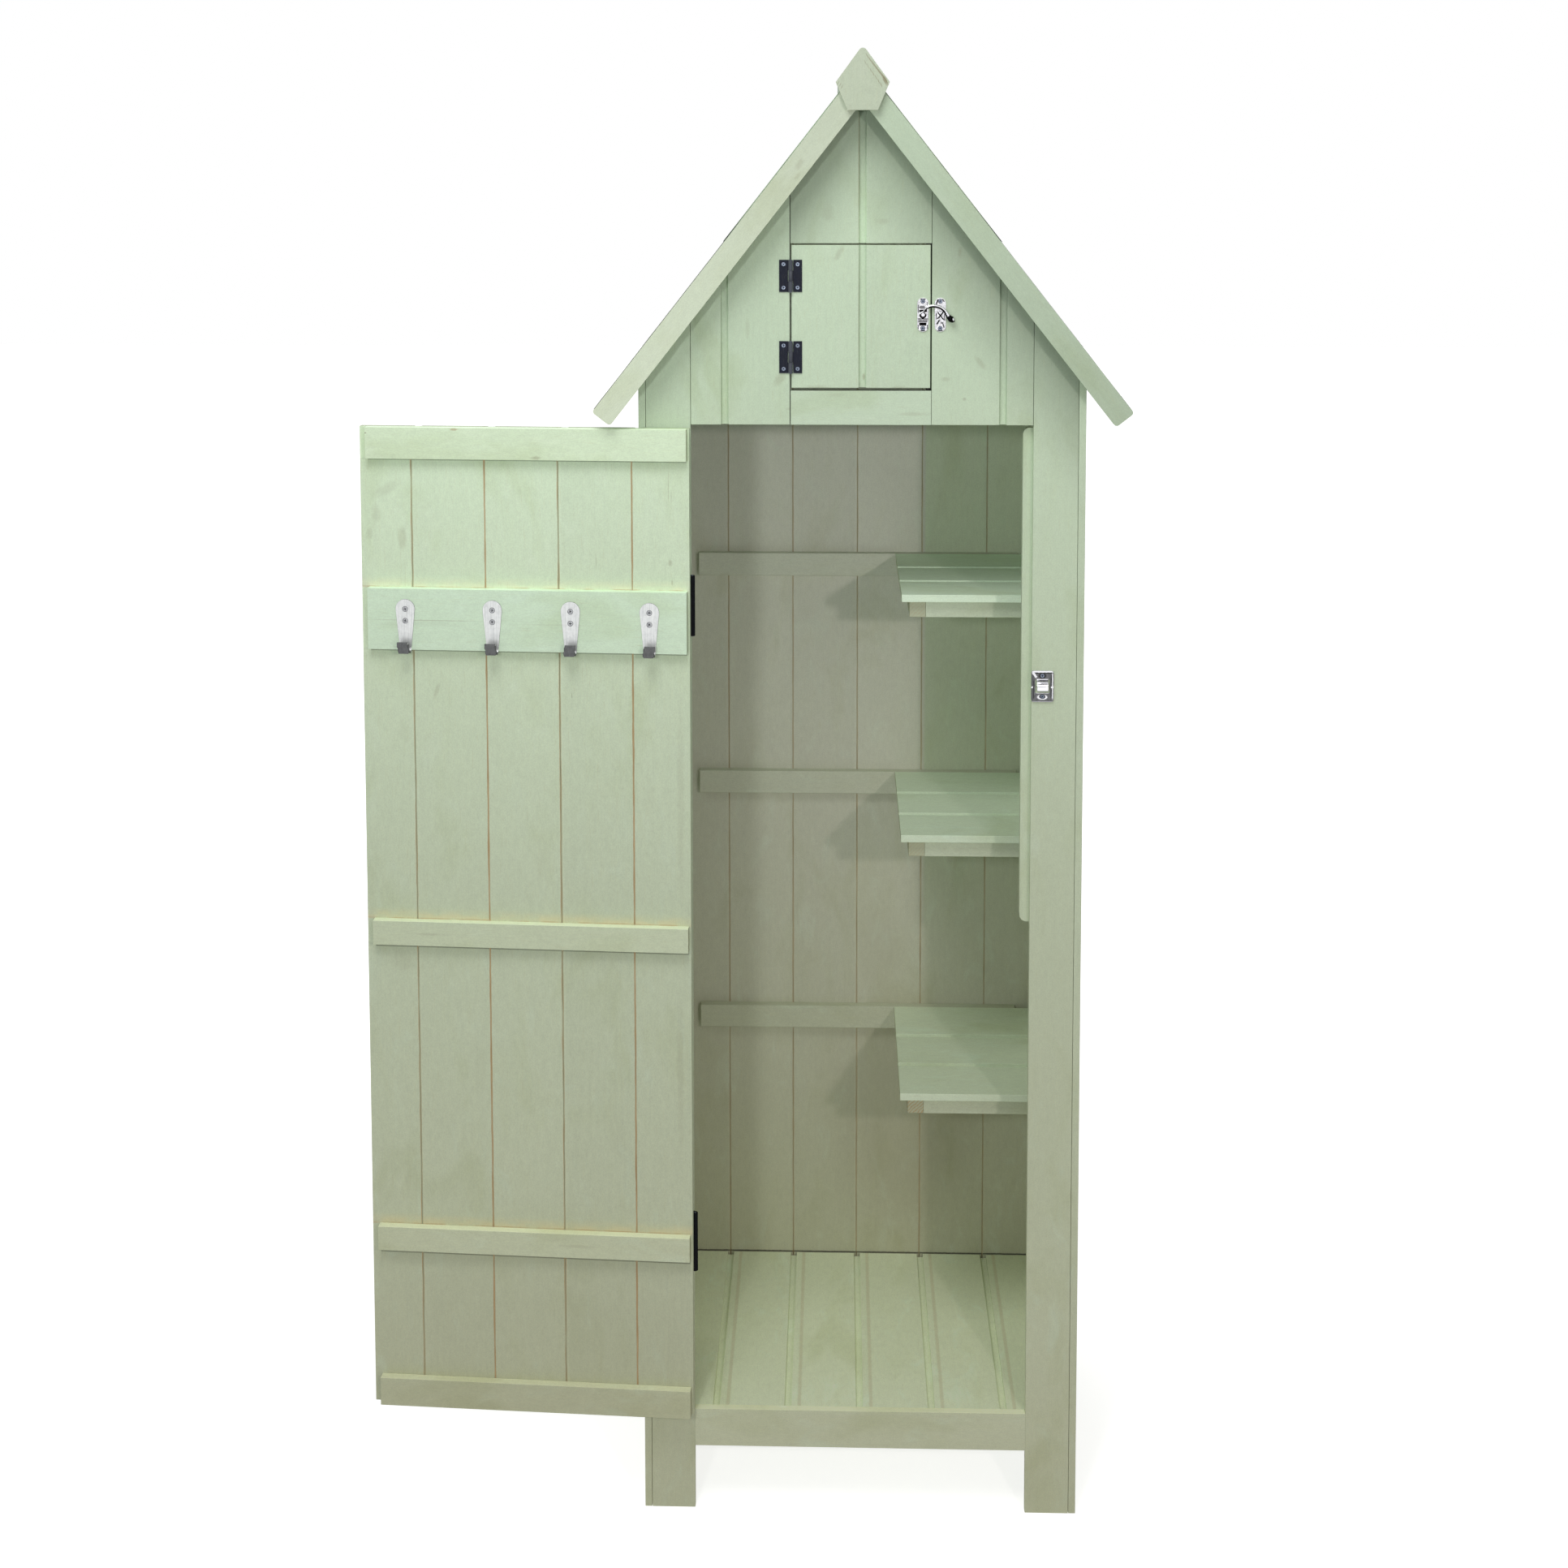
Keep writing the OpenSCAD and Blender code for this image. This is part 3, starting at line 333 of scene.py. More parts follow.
class Effects:
    """The shader node groups that several finishes share, each built once."""

    def __init__(self) -> None:
        """Builds every group."""
        self.lay = self.board_lay()
        self.grain = self.pine_grain()
        self.wash = self.mint_wash()
        self.smudge = self.metal_smudge()

    @staticmethod
    def board_lay() -> bpy.types.NodeTree:
        """Makes the group that tells one board from the next.

        Returns:
            A group with the board's random number and the distance to its nearest joint.
        """
        g = Group("board lay", {"Across": 0.0, "First": 0.0, "Cover": BOARD_MM, "Last": 9.0, "Seed": 0.0},
                  {"Random": "value", "Joint": "value"})
        i = g.start
        run = (i["Across"] - i["First"]) / i["Cover"]
        count = g.math("MINIMUM", g.most(g.math("FLOOR", run), -1.0), i["Last"])
        random = g.get("TexWhiteNoise", {"W": count * 3.7 + i["Seed"]}, "Value", noise_dimensions="1D")
        whole = g.math("MINIMUM", g.most(g.math("ROUND", run), 0.0), i["Last"])
        return g.give(Random=random, Joint=abs(run - whole) * i["Cover"])

    @staticmethod
    def pine_grain() -> bpy.types.NodeTree:
        """Makes the group that draws sawn pine, with the fibres along the third axis.

        Returns:
            A group with fibres, growth lines, knots and relief.
        """
        g = Group("pine grain", {"Place": "vector", "Random": 0.5},
                  {"Fibre": "value", "Growth": "value", "Knot": "value", "Relief": "value"})
        a, b, c = g.axes(g.start["Place"])
        a, c = g.start["Random"] * 731.0 + a, g.start["Random"] * 2917.0 + c
        place = g.point(a, b, c)
        fine = g.noise(place, (0.9, 0.9, 22.0), 3.0, 0.65)
        streak = g.noise(place, (6.0, 6.0, 90.0), 3.0, 0.6, 0.8)
        fibre = fine * 0.78 + streak * 0.22
        bow = g.noise(place, (70.0, 70.0, 420.0), 1.0)
        wave = g.noise(place, (16.0, 16.0, 120.0), 2.0)
        knots = g.add("TexVoronoi", {"Vector": g.point(a / 95.0, 0.0, c / 240.0), "Scale": 1.0,
                                     "Randomness": 1.0}, voronoi_dimensions="3D").outputs
        away = Value(g, knots["Distance"])
        keep = g.fade(g.axes(Value(g, knots["Color"]))[0], 0.62, 0.7)
        near = g.fade(away, 0.34, 0.03) * keep
        knot = g.fade(away, 0.075, 0.035) * keep
        turn = (a + (bow * 46.0 + (wave * 7.0 + near * 11.0))) * (2 * math.pi / 8.5)
        ring = g.math("SINE", turn) * 0.5 + 0.5
        shown = g.fade(g.noise(place, (120.0, 120.0, 420.0), 2.0, 0.5, 0.0, 17.0), 0.46, 0.66)
        growth = g.math("POWER", ring, 2.2) * shown
        relief = fibre * 0.55 + (growth * 0.04 - knot * 0.25)
        return g.give(Fibre=fibre, Growth=growth, Knot=knot, Relief=relief)

    @staticmethod
    def mint_wash() -> bpy.types.NodeTree:
        """Makes the group that washes pine with pale green, lighter and greener higher up and darker and more olive
        low down, a painted light gradient.

        Returns:
            A group with the wash's colour, roughness and relief.
        """
        g = Group("mint wash", {"Place": "vector", "Height": 0.0, "Random": 0.5, "Fibre": 0.5, "Growth": 0.5,
                                "Knot": 0.0, "Bare": 0.0, "Inside": 0.0, "End": 0.0, "Stain": 0.0, "Eave": 0.0,
                                "Lift": 0.0, "Cream": 0.0, "Shade": 0.0, "Tone": "colour"},
                  {"Colour": "colour", "Roughness": "value", "Relief": "value"})
        i = g.start
        place, height, fibre = i["Place"], i["Height"], i["Fibre"]
        # The wash outside and inside at three heights; the change with height is a painted light gradient
        low, mid, high = (g.mix(i["Inside"], rgb(*outer), rgb(*inner)) for outer, inner in (
            ((204, 206, 178), (195, 198, 170)), ((206, 216, 190), (203, 206, 187)),
            ((206, 224, 199), (221, 226, 212))))
        climb = g.fade(height, 760.0, 1420.0, smooth=False)
        colour = g.mix(climb, g.mix(g.fade(height, 60.0, 760.0, smooth=False), low, mid), high)
        cloud = g.noise(place, (70.0, 70.0, 150.0), 3.0, 0.6, 0.6)
        patch = g.noise(place, (26.0, 26.0, 60.0), 3.0, 0.6, 0.8, 31.0)
        mottle = g.noise(place, (5.0, 5.0, 9.0), 3.0, 0.65, 0.0, 77.0)
        speck = g.noise(place, (1.3, 1.3, 1.9), 2.0, 0.6, 0.0, 3.0)
        thin = g.fade(cloud, 0.48, 0.78) * 0.34
        colour = g.mix(thin, colour, g.mix(0.8, colour, rgb(196, 198, 156), "MULTIPLY"))
        thick = g.fade(patch, 0.52, 0.8) * 0.30
        colour = g.mix(thick, colour, rgb(214, 228, 208))
        tone = (i["Random"] - 0.5) * 0.055 + 1.0
        for part, share in ((fibre, 0.20), (mottle, 0.15), (speck, 0.26)):
            tone = tone + (part - 0.5) * share
        tone = (tone - i["Growth"] * 0.012) * (1.0 - i["Eave"]) * (1.0 - i["Shade"])
        # Painted light: the upper part of a piece is lightened by its share of top light
        tone = tone * (climb * i["Lift"] + 1.0) + (cloud - 0.5) * 0.10
        colour = g.mix(1.0, colour, g.point(tone, tone, tone), "MULTIPLY")
        colour = g.mix(1.0, colour, i["Tone"], "MULTIPLY")
        gold = g.mix(g.fade(height, 760.0, 1140.0), rgb(240, 216, 168), rgb(250, 240, 205))
        colour = g.mix(i["Cream"], colour, gold)
        # What shows through the wash or lies on it: worn fibres, knots, end grain, stains and patches of painted
        # shade, bare wood
        for share, shade in ((g.fade(fibre, 0.56, 0.66) * 0.22, (176, 172, 132)), (i["Knot"] * 0.20, (142, 124, 88)),
                             (i["End"] * 0.42, (158, 152, 118)), (i["Stain"], (132, 122, 92)),
                             (i["Bare"], (178, 134, 84))):
            colour = g.mix(share, colour, rgb(*shade))
        rough = g.math("MULTIPLY_ADD", thick, -0.3, (fibre - 0.5) * 0.3 + 0.66, clamp=True)
        return g.give(Colour=colour, Roughness=rough, Relief=mottle * 0.35)

    @staticmethod
    def metal_smudge() -> bpy.types.NodeTree:
        """Makes the group that draws handling marks and fine scratches on metal.

        Returns:
            A group with a mark and a scratch mask.
        """
        g = Group("metal smudge", {"Place": "vector"}, {"Mark": "value", "Scratch": "value"})
        mark = g.fade(g.noise(g.start["Place"], (5.0, 5.0, 5.0), 4.0, 0.6, 0.5), 0.42, 0.66)
        scratch = g.fade(g.noise(g.start["Place"], (0.35, 0.35, 9.0), 2.0, 0.5), 0.60, 0.70)
        return g.give(Mark=mark, Scratch=scratch)


class Finish:
    """What all finishes share: a new material with its place in drawing millimetres."""

    def begin(self, name: str, turn: Turn = Turn.NONE) -> tuple[Graph, Value, Value]:
        """Starts a material.

        Args:
            name: The material's name.
            turn: How the pattern is turned.

        Returns:
            The graph, the place in millimetres, and the surface's direction.
        """
        self.material = bpy.data.materials.new(name)
        self.material.use_nodes = True
        self.g = g = Graph(self.material.node_tree)
        source = g.add("TexCoord").outputs
        place = g.get("Mapping", {0: Value(g, source["Object"]), 1: (*MIDDLE_MM, 0.0), 3: (1000.0,) * 3})
        facing = Value(g, source["Normal"])
        if turn is Turn.DOOR:
            x, y = DOOR_AXIS_MM
            place = g.get("Mapping", {0: place, 1: (-x, -y, 0.0)})
            place = g.get("Mapping", {0: place, 1: (x, y, 0.0), 2: turn.value})
        elif turn is not Turn.NONE:
            place = g.get("Mapping", {0: place, 2: turn.value})
        if turn is not Turn.NONE:
            facing = g.get("Mapping", {0: facing, 2: turn.value}, vector_type="VECTOR")
        return g, place, facing

    def coat(self, colour: object, rough: object, bump: tuple[float, float, Value],
             **inputs: object) -> bpy.types.Material:
        """Completes the material.

        Args:
            colour: Its base colour.
            rough: Its roughness.
            bump: The relief's strength, its depth in metres and its height.
            inputs: Other inputs of the shader, named with underscores for spaces.

        Returns:
            The finished material.
        """
        strength, depth, height = bump
        relief = self.g.get("Bump", {"Strength": strength, "Distance": depth, "Height": height})
        sockets = self.material.node_tree.nodes["Principled BSDF"].inputs
        for key, value in {"Base_Color": colour, "Roughness": rough, "Normal": relief, **inputs}.items():
            self.g.put(sockets[key.replace("_", " ")], value)
        return self.material


@dataclass(frozen=True)
class Blemish:
    """One stain, knot or bare place on a piece, or a patch of painted shade, by its place on the drawing's front."""

    x: float
    z: float
    half_w: float
    half_h: float
    strength: float = 0.5
    lean: float = 0.0
    bare: bool = False


def marks(*rows: tuple) -> tuple[Blemish, ...]:
    """Makes blemishes from rows of their numbers."""
    return tuple(Blemish(*row) for row in rows)


@dataclass
class Surface:
    """What a washed surface reads, and what has been laid on it so far."""

    g: Graph
    place: Value
    x: Value
    y: Value
    z: Value
    nx: Value
    ny: Value
    nz: Value
    ragged: Value
    shown: object = 1.0
    bare: object = 0.0
    stain: object = 0.0
    cream: object = 0.0
    shade: object = 0.0
    end: object = 0.0
    eave: object = 0.0


@dataclass
class WashedPine(Finish):
    """Pale green wash on pine boards; the sizes are in drawing millimetres."""

    effects: Effects
    name: str
    grain: Grain = Grain.UP
    turn: Turn = Turn.NONE
    split: str = ""
    first: float = 0.0
    cover: float = BOARD_MM
    last: float = 9.0
    seed: float = 0.0
    joint_shift: float = JOINT_MM
    joint_half: float = 1.4
    bare_joints: float = 0.0
    bare_side: float = 0.0
    inside: float = 0.0
    bars: bool = False
    crown: float = 0.0
    dark_face: str = ""
    butt_x: float = 0.0
    gap_x: float = 0.0
    walls: float = 0.0
    rear: float = 0.0
    green_x: float = 0.0
    # The eave settings give painted shade under the roof line, on the left and on the right
    eave: float = 0.0
    eave_right: float = 0.0
    run: tuple[float, float] = (1.0, 1.0)
    lift: float = 0.0
    dirt_z: float = 0.0
    tone: Point = (1.0, 1.0, 1.0)
    blemishes: tuple[Blemish, ...] = ()

    def boards(self, s: Surface) -> object:
        """Tells the boards apart and bares the joints between them.

        Args:
            s: The surface.

        Returns:
            The random number of the board.
        """
        if not self.split:
            return (self.seed * 0.377) % 1.0
        g = s.g
        lay = {"Across": s.y if self.split == "Y" else s.x, "Cover": self.cover, "Last": self.last,
               "Seed": self.seed}
        if self.bare_joints:
            joint = g.use(self.effects.lay, First=self.first + self.joint_shift, **lay)["Joint"]
            reach = (g.noise(s.place, (3.0, 3.0, 40.0), 3.0, 0.6, 0.0, 12.0) - 0.5) * 2.0 + joint
            s.bare = g.fade(reach, self.joint_half, self.joint_half * 0.35) * self.bare_joints * s.shown
        return g.use(self.effects.lay, First=self.first, **lay)["Random"]

    def stains(self, s: Surface) -> None:
        """Lays the blemishes and the patches of painted shade on the surface: soft uneven spots; very small and very
        wide ones have cleaner edges.
        """
        g = s.g
        across = s.y if self.split == "Y" else s.x
        for mark in self.blemishes:
            reach = 0.5 if 1.5 < mark.half_w < 40 else 0.12
            u, v = g.turned(across - mark.x, s.z - mark.z, mark.lean)
            edge = (s.ragged - 0.5) * (2 * reach) + g.far(u / mark.half_w, v / mark.half_h)
            spot = g.fade(edge, 1.0, 0.25) * mark.strength * s.shown
            if mark.bare:
                s.bare = g.most(s.bare, spot)
            else:
                s.stain = g.most(s.stain, spot)

    def beside_bars(self, s: Surface) -> None:
        """Lays golden drips over the door's bars, shadows under them and a glow beside them."""
        g = s.g
        for _, level, _, _ in BARS_MM[1:]:
            over = s.z - level
            rise = g.fade(over, -2.0, 0.0) * s.shown
            drip = g.fade(g.noise(s.place, (24.0, 24.0, 10.0), 2.0, 0.5, 0.0, 9.0), 0.35, 0.62)
            s.bare = g.most(s.bare, g.fade(over, 1.6, 0.4) * rise * drip * 0.45)
            s.cream = g.most(s.cream, g.fade(over, 15.0, 1.0) * rise * (drip * 0.22 + 0.16))
        for level, _, reach, _ in BARS_MM:
            under = level - s.z
            dark = g.fade(under, reach, reach - 1.6) * g.fade(under, -1.0, 0.0, 0.0, 0.55)
            soft = g.fade(under, 3.4 * reach, 0.6 * reach) * g.fade(under, -1.0, 0.0, 0.0, 0.12)
            ends = g.fade(abs(s.x + 5.25), 192.2, 191.0) * s.shown
            s.shade = g.most(s.shade, g.most(dark, soft) * ends)
        for low, high, _, strength in BARS_MM:
            level = g.fade(s.z, low - 1.0, low) * g.fade(s.z, high + 1.0, high)
            s.shade = s.shade - level * g.fade(s.x, 186.6, 187.6, 0.0, strength) * s.shown

    def light(self, s: Surface) -> None:
        """Paints light and shade on faces by the way they look, paints shade along gaps, under the eaves and along
        the back wall's seam with the floor, and draws end grain.
        """
        g = s.g
        # Painted highlight: faces that look up are lightened
        if self.crown:
            s.shade = s.shade - g.fade(s.nz, 0.5, 0.85, 0.0, self.crown)
        # Painted shade: faces that look up, or to the front, are darkened
        if self.dark_face:
            turned = s.nz if self.dark_face == "top" else s.ny * -1.0
            s.shade = g.most(s.shade, g.fade(turned, 0.5, 0.85, 0.0, 0.9))
        # Painted shade: darker towards the back of the shed
        if self.rear:
            s.shade = s.shade + g.fade(s.y, 170.0, 340.0, 0.0, self.rear)
        # Painted light: faces that look sideways, the walls of the board channels, are lightened
        if self.walls:
            s.shade = s.shade - g.fade(abs(s.nx), 0.3, 0.6, 0.0, self.walls)
        # Painted shade: a dark strip along the hatch's hinge-side gap
        if self.gap_x:
            s.shade = g.most(s.shade, g.fade(abs(s.x - self.gap_x), 1.5, 1.0, 0.0, 0.8))
        if self.butt_x:
            butt = g.fade(s.x, self.butt_x + 0.1, self.butt_x - 0.1)
            slope = s.ragged * 5.0 + (s.x - s.z) * 0.7
            rings = g.fade(g.math("SINE", slope * (2 * math.pi / 3.4)), 0.0, 0.9)
            rings = rings * g.fade(s.z, 640.0, 560.0, 0.14, 0.55)
            s.bare, s.end = g.most(s.bare, rings * butt), g.most(s.end, butt)
        # Painted shade under the eaves
        if self.eave:
            roof = abs(s.x) * -math.tan(PITCH) + (RIDGE_Z_MM - 43.0)
            under = (roof - s.z) * math.cos(PITCH)
            s.eave = g.fade(under, 105.0, 0.0) * g.fade(s.x, -30.0, 30.0, self.eave, self.eave_right)
        # Painted shade: a dark uneven line along the back wall's foot, where it meets the floor
        if self.dirt_z:
            line = (s.ragged - 0.5) * 1.2 + s.z
            seam = g.fade(line, self.dirt_z + 0.9, self.dirt_z) * g.fade(line, self.dirt_z - 2.0, self.dirt_z - 1.2)
            s.shade = g.most(s.shade, seam * s.shown * 0.75)

    def tint(self, s: Surface) -> tuple[object, object]:
        """Gives the wash's tint and how much of it is the inner wash; an outer face takes the plain outer wash.

        Args:
            s: The surface.

        Returns:
            The tint and the share of the inner wash.
        """
        g = s.g
        tint: object = (*self.tone, 1.0)
        # Painted shade: right of green_x and above about 500 mm, the wash turns greener, darker lower down and
        # lighter higher up, as in the right stile's shadow
        if self.green_x:
            low, high = ((*(share * tone for share, tone in zip(shares, self.tone)), 1.0)
                         for shares in ((0.90, 0.97, 0.87), (1.04, 1.12, 0.98)))
            part = g.fade(s.x, self.green_x - 2.0, self.green_x + 2.0) * g.fade(s.z, 480.0, 760.0)
            tint = g.mix(part, tint, g.mix(g.fade(s.z, 930.0, 1230.0), low, high))
        if self.bare_side and self.inside:
            return g.mix(s.shown, (1.0, 1.0, 1.0, 1.0), tint), s.shown * self.inside
        return tint, self.inside

    def build(self) -> bpy.types.Material:
        """Makes the material.

        Returns:
            The washed pine of one piece.
        """
        g, place, facing = self.begin(self.name, self.turn)
        ragged = g.noise(place, (7.0, 7.0, 7.0), 3.0, 0.65, 0.4, 5.0)
        s = Surface(g, place, *g.axes(place), *g.axes(facing), ragged)
        order = self.grain.value
        laid = g.point(*({"X": s.x, "Y": s.y, "Z": s.z}[axis] for axis in order))
        s.end = g.fade(abs({"X": s.nx, "Y": s.ny, "Z": s.nz}[order[2]]), 0.75, 0.9)
        if self.bare_side:
            s.shown = g.fade((s.nx if self.split == "Y" else s.ny) * self.bare_side, 0.3, 0.8)
        random = self.boards(s)
        self.stains(s)
        if self.bars:
            self.beside_bars(s)
        self.light(s)
        height: Value = s.z
        if self.turn in (Turn.ROOF_LEFT, Turn.ROOF_RIGHT):
            height = g.axes(g.get("TexCoord", {}, "Object"))[2] * 1000.0
        if self.run[0] != self.run[1]:
            s.shade = s.shade + (1.0 - g.fade(height, 1400.0, 1720.0, *self.run, smooth=False))
        tint, inside = self.tint(s)
        grain = g.use(self.effects.grain, Place=laid, Random=random)
        wash = g.use(self.effects.wash, Place=laid, Height=height, Random=random, Fibre=grain["Fibre"],
                     Growth=grain["Growth"], Knot=grain["Knot"], Bare=s.bare, Inside=inside, End=s.end,
                     Stain=s.stain, Eave=s.eave, Lift=self.lift, Cream=s.cream, Shade=s.shade, Tone=tint)
        return self.coat(wash["Colour"], wash["Roughness"], (0.5, 0.0004, grain["Relief"] + wash["Relief"]),
                         Specular_IOR_Level=0.32)


@dataclass
class Metal(Finish):
    """Steel of one of the fittings."""

    effects: Effects
    name: str
    colour: Tone
    dull: Tone
    metallic: float = 1.0
    rough: float = 0.2
    rough_mark: float = 0.15
    marks: float = 0.5
    scratches: float = 0.2
    bump: float = 0.3
    turn: Turn = Turn.NONE
    gloss: float = 0.5
    barrel_x: float = 0.0

    def build(self) -> bpy.types.Material:
        """Makes the material.

        Returns:
            The metal finish.
        """
        g, place, _ = self.begin(self.name, self.turn)
        smudge = g.use(self.effects.smudge, Place=place)
        colour: object = g.mix(smudge["Mark"] * self.marks, rgb(*self.colour), rgb(*self.dull))
        if self.barrel_x:
            colour = g.mix(g.fade(abs(g.axes(place)[0] - self.barrel_x), 3.2, 2.2), colour, rgb(82, 85, 94))
        colour = g.mix(smudge["Scratch"] * self.scratches, colour, rgb(214, 216, 218))
        height = g.noise(place, (0.6, 0.6, 0.6), 2.0, 0.6) - smudge["Scratch"] * 0.5
        return self.coat(colour, smudge["Mark"] * self.rough_mark + self.rough, (self.bump, 0.0002, height),
                         Metallic=self.metallic, Specular_IOR_Level=self.gloss)


@dataclass(frozen=True)
class Glint:
    """One painted light or dark reflection on a plated fitting, placed from the fitting's middle."""

    x: float
    z: float
    half_w: float
    half_h: float
    level: int
    lean: float = 0.0
    round: bool = False


def glints(*rows: tuple) -> tuple[Glint, ...]:
    """Makes glints from rows of their numbers; a row that ends with the letter o is a round one."""
    return tuple(Glint(*row[:-1], round=True) if row[-1] == "o" else Glint(*row) for row in rows)


@dataclass
class PlatedSteel(Finish):
    """Bright plated steel with painted reflections of a light studio, with dark edges."""

    effects: Effects
    name: str
    middle: tuple[float, float]
    base: int
    upper: int
    under: int
    glints: tuple[Glint, ...] = ()
    turn: Turn = Turn.NONE
    step: tuple[float, float] = (0.1, 0.9)
    wrapped: bool = False

    def build(self) -> bpy.types.Material:
        """Makes the material.

        Returns:
            The plated finish.
        """
        g, place, facing = self.begin(self.name, self.turn)
        x, _, z = g.axes(place)
        _, front, up = g.axes(facing)
        smudge = g.use(self.effects.smudge, Place=place)
        flow = g.noise(place, (2.4, 2.4, 3.0), 1.5, 0.5, 0.6, 4.0)
        wavy = (flow - 0.5) * 0.9
        colour = g.mix(g.fade(flow, 0.35, 0.65), self.grey(self.base * 0.86), self.grey(self.base))
        # Painted reflection: faces that look up are lighter, faces that look down darker
        side = g.mix(g.fade(up, *self.step), self.grey(self.under), self.grey(self.upper))
        if self.wrapped:
            colour = side
        for glint in self.glints:
            u, v = g.turned(x - (self.middle[0] + glint.x), z - (self.middle[1] + glint.z), glint.lean)
            u, v = (u + wavy) / glint.half_w, (v + wavy) / glint.half_h
            far = g.far(u, v) if glint.round else g.most(abs(u), abs(v))
            colour = g.mix(g.fade(far, 1.14, 0.86), colour, self.grey(glint.level))
        if not self.wrapped:
            colour = g.mix(g.fade(front, -0.90, -0.60), colour, side)
        return self.coat(colour, smudge["Mark"] * 0.10 + 0.16, (0.2, 0.0003, smudge["Mark"] * 0.3 + flow),
                         Metallic=1.0)

    @staticmethod
    def grey(level: float) -> tuple[float, float, float, float]:
        """Gives a faintly blue grey of a display level."""
        return rgb(round(level), round(level), round(min(255, level * 1.02)))


@dataclass
class MineralFelt(Finish):
    """Dark green roofing felt with crushed stone on it."""

    name: str
    turn: Turn

    def build(self) -> bpy.types.Material:
        """Makes the material.

        Returns:
            The roofing felt.
        """
        g, place, _ = self.begin(self.name, self.turn)
        stones = g.add("TexVoronoi", {"Vector": place, "Scale": 0.85, "Randomness": 1.0}).outputs
        tint = g.axes(Value(g, stones["Color"]))[0]
        colour = g.mix(g.fade(tint, 0.1, 0.9), rgb(34, 48, 40), rgb(74, 92, 78))
        colour = g.mix(g.fade(tint, 0.9, 0.96), colour, rgb(118, 128, 116))
        cloud = g.noise(place, (60.0, 60.0, 60.0), 4.0, 0.6, 0.5)
        colour = g.mix(g.fade(cloud, 0.4, 0.7) * 0.4, colour, rgb(40, 50, 44))
        worn = g.fade(g.noise(place, (9.0, 9.0, 9.0), 3.0, 0.6, 0.0, 8.0), 0.60, 0.72) * 0.5
        colour = g.mix(worn, colour, rgb(30, 32, 32))
        _, deep, along = g.axes(place)
        brushed = g.fade(deep, 6.0, 0.0) * g.fade(along, 1130.0, 1200.0)
        colour = g.mix(brushed, colour, rgb(196, 212, 188))
        return self.coat(colour, g.fade(tint, 0.0, 1.0, 0.78, 0.95),
                         (0.8, 0.0006, tint * 0.5 - Value(g, stones["Distance"])), Specular_IOR_Level=0.3)


@dataclass
class HookSteel(Finish):
    """Satin steel of a coat hook, with a dark tip."""

    effects: Effects
    name: str
    tip_top: float

    def build(self) -> bpy.types.Material:
        """Makes the material.

        Returns:
            The coat hooks' finish.
        """
        g, place, facing = self.begin(self.name, Turn.DOOR)
        _, depth, z = g.axes(place)
        flat = abs(g.axes(facing)[1])
        smudge = g.use(self.effects.smudge, Place=place)
        tip = g.fade(z, self.tip_top + 0.4, self.tip_top - 0.4) * g.fade(depth, 22.0, 23.0)
        brushed = g.noise(place, (0.5, 0.5, 30.0), 2.0, 0.6)
        colour = g.mix(g.fade(brushed, 0.3, 0.7), rgb(196, 198, 199), rgb(222, 223, 223))
        colour = g.mix(smudge["Mark"] * 0.25, colour, rgb(170, 172, 175))
        # Painted shade: the plates' side faces are darkened to a dark outline
        rim = g.fade(flat, 0.92, 0.55) * g.fade(depth, 23.0, 22.0)
        colour = g.mix(rim * 0.75, colour, rgb(104, 106, 108))
        return self.coat(g.mix(tip, colour, rgb(78, 78, 80)), smudge["Mark"] * 0.1 + 0.42, (0.15, 0.0002, brushed),
                         Metallic=tip * -0.5 + 0.7)


def alone(piece: bpy.types.Object) -> None:
    """Selects one object and nothing else, and makes it the active one."""
    bpy.ops.object.select_all(action="DESELECT")
    piece.select_set(True)
    bpy.context.view_layer.objects.active = piece


def settle() -> bpy.types.Object:
    """Puts the active object's place, turn and size into its mesh, and returns it."""
    bpy.ops.object.transform_apply(location=True, rotation=True, scale=True)
    return bpy.context.object


def mode(name: str) -> None:
    """Changes the active object's mode: OBJECT, EDIT, or EDIT with ALL or NONE of its mesh selected."""
    bpy.ops.object.mode_set(mode="EDIT" if name in ("ALL", "NONE") else name)
    if name in ("ALL", "NONE"):
        bpy.ops.mesh.select_all(action="SELECT" if name == "ALL" else "DESELECT")


def pick(elements: bpy.types.bpy_prop_collection, test: Callable[[object], bool]) -> None:
    """Selects the points or faces of the active object that pass a test, and goes into edit mode."""
    for element in elements:
        element.select = test(element)
    mode("EDIT")


def outward() -> None:
    """Turns all faces of the active object outwards."""
    mode("ALL")
    bpy.ops.mesh.normals_make_consistent(inside=False)
    mode("OBJECT")


def join(pieces: list[bpy.types.Object]) -> bpy.types.Object:
    """Joins objects into the first of them, and returns it."""
    alone(pieces[0])
    for piece in pieces:
        piece.select_set(True)
    bpy.ops.object.join()
    return bpy.context.object


def copy_of(piece: bpy.types.Object) -> bpy.types.Object:
    """Copies an object with its mesh."""
    alone(piece)
    bpy.ops.object.duplicate(linked=False)
    return bpy.context.object


def cube(scale: Point, location: Point = (0.0, 0.0, 0.0), lean: float = 0.0) -> bpy.types.Object:
    """Starts a piece from a box.

    Args:
        scale: Its sizes in metres.
        location: Its middle.
        lean: Its turn about the y axis, in degrees.

    Returns:
        The box, settled at the origin.
    """
    bpy.ops.object.select_all(action="DESELECT")
    bpy.ops.mesh.primitive_cube_add(size=1, location=location, rotation=(0, math.radians(lean), 0), scale=scale)
    return settle()


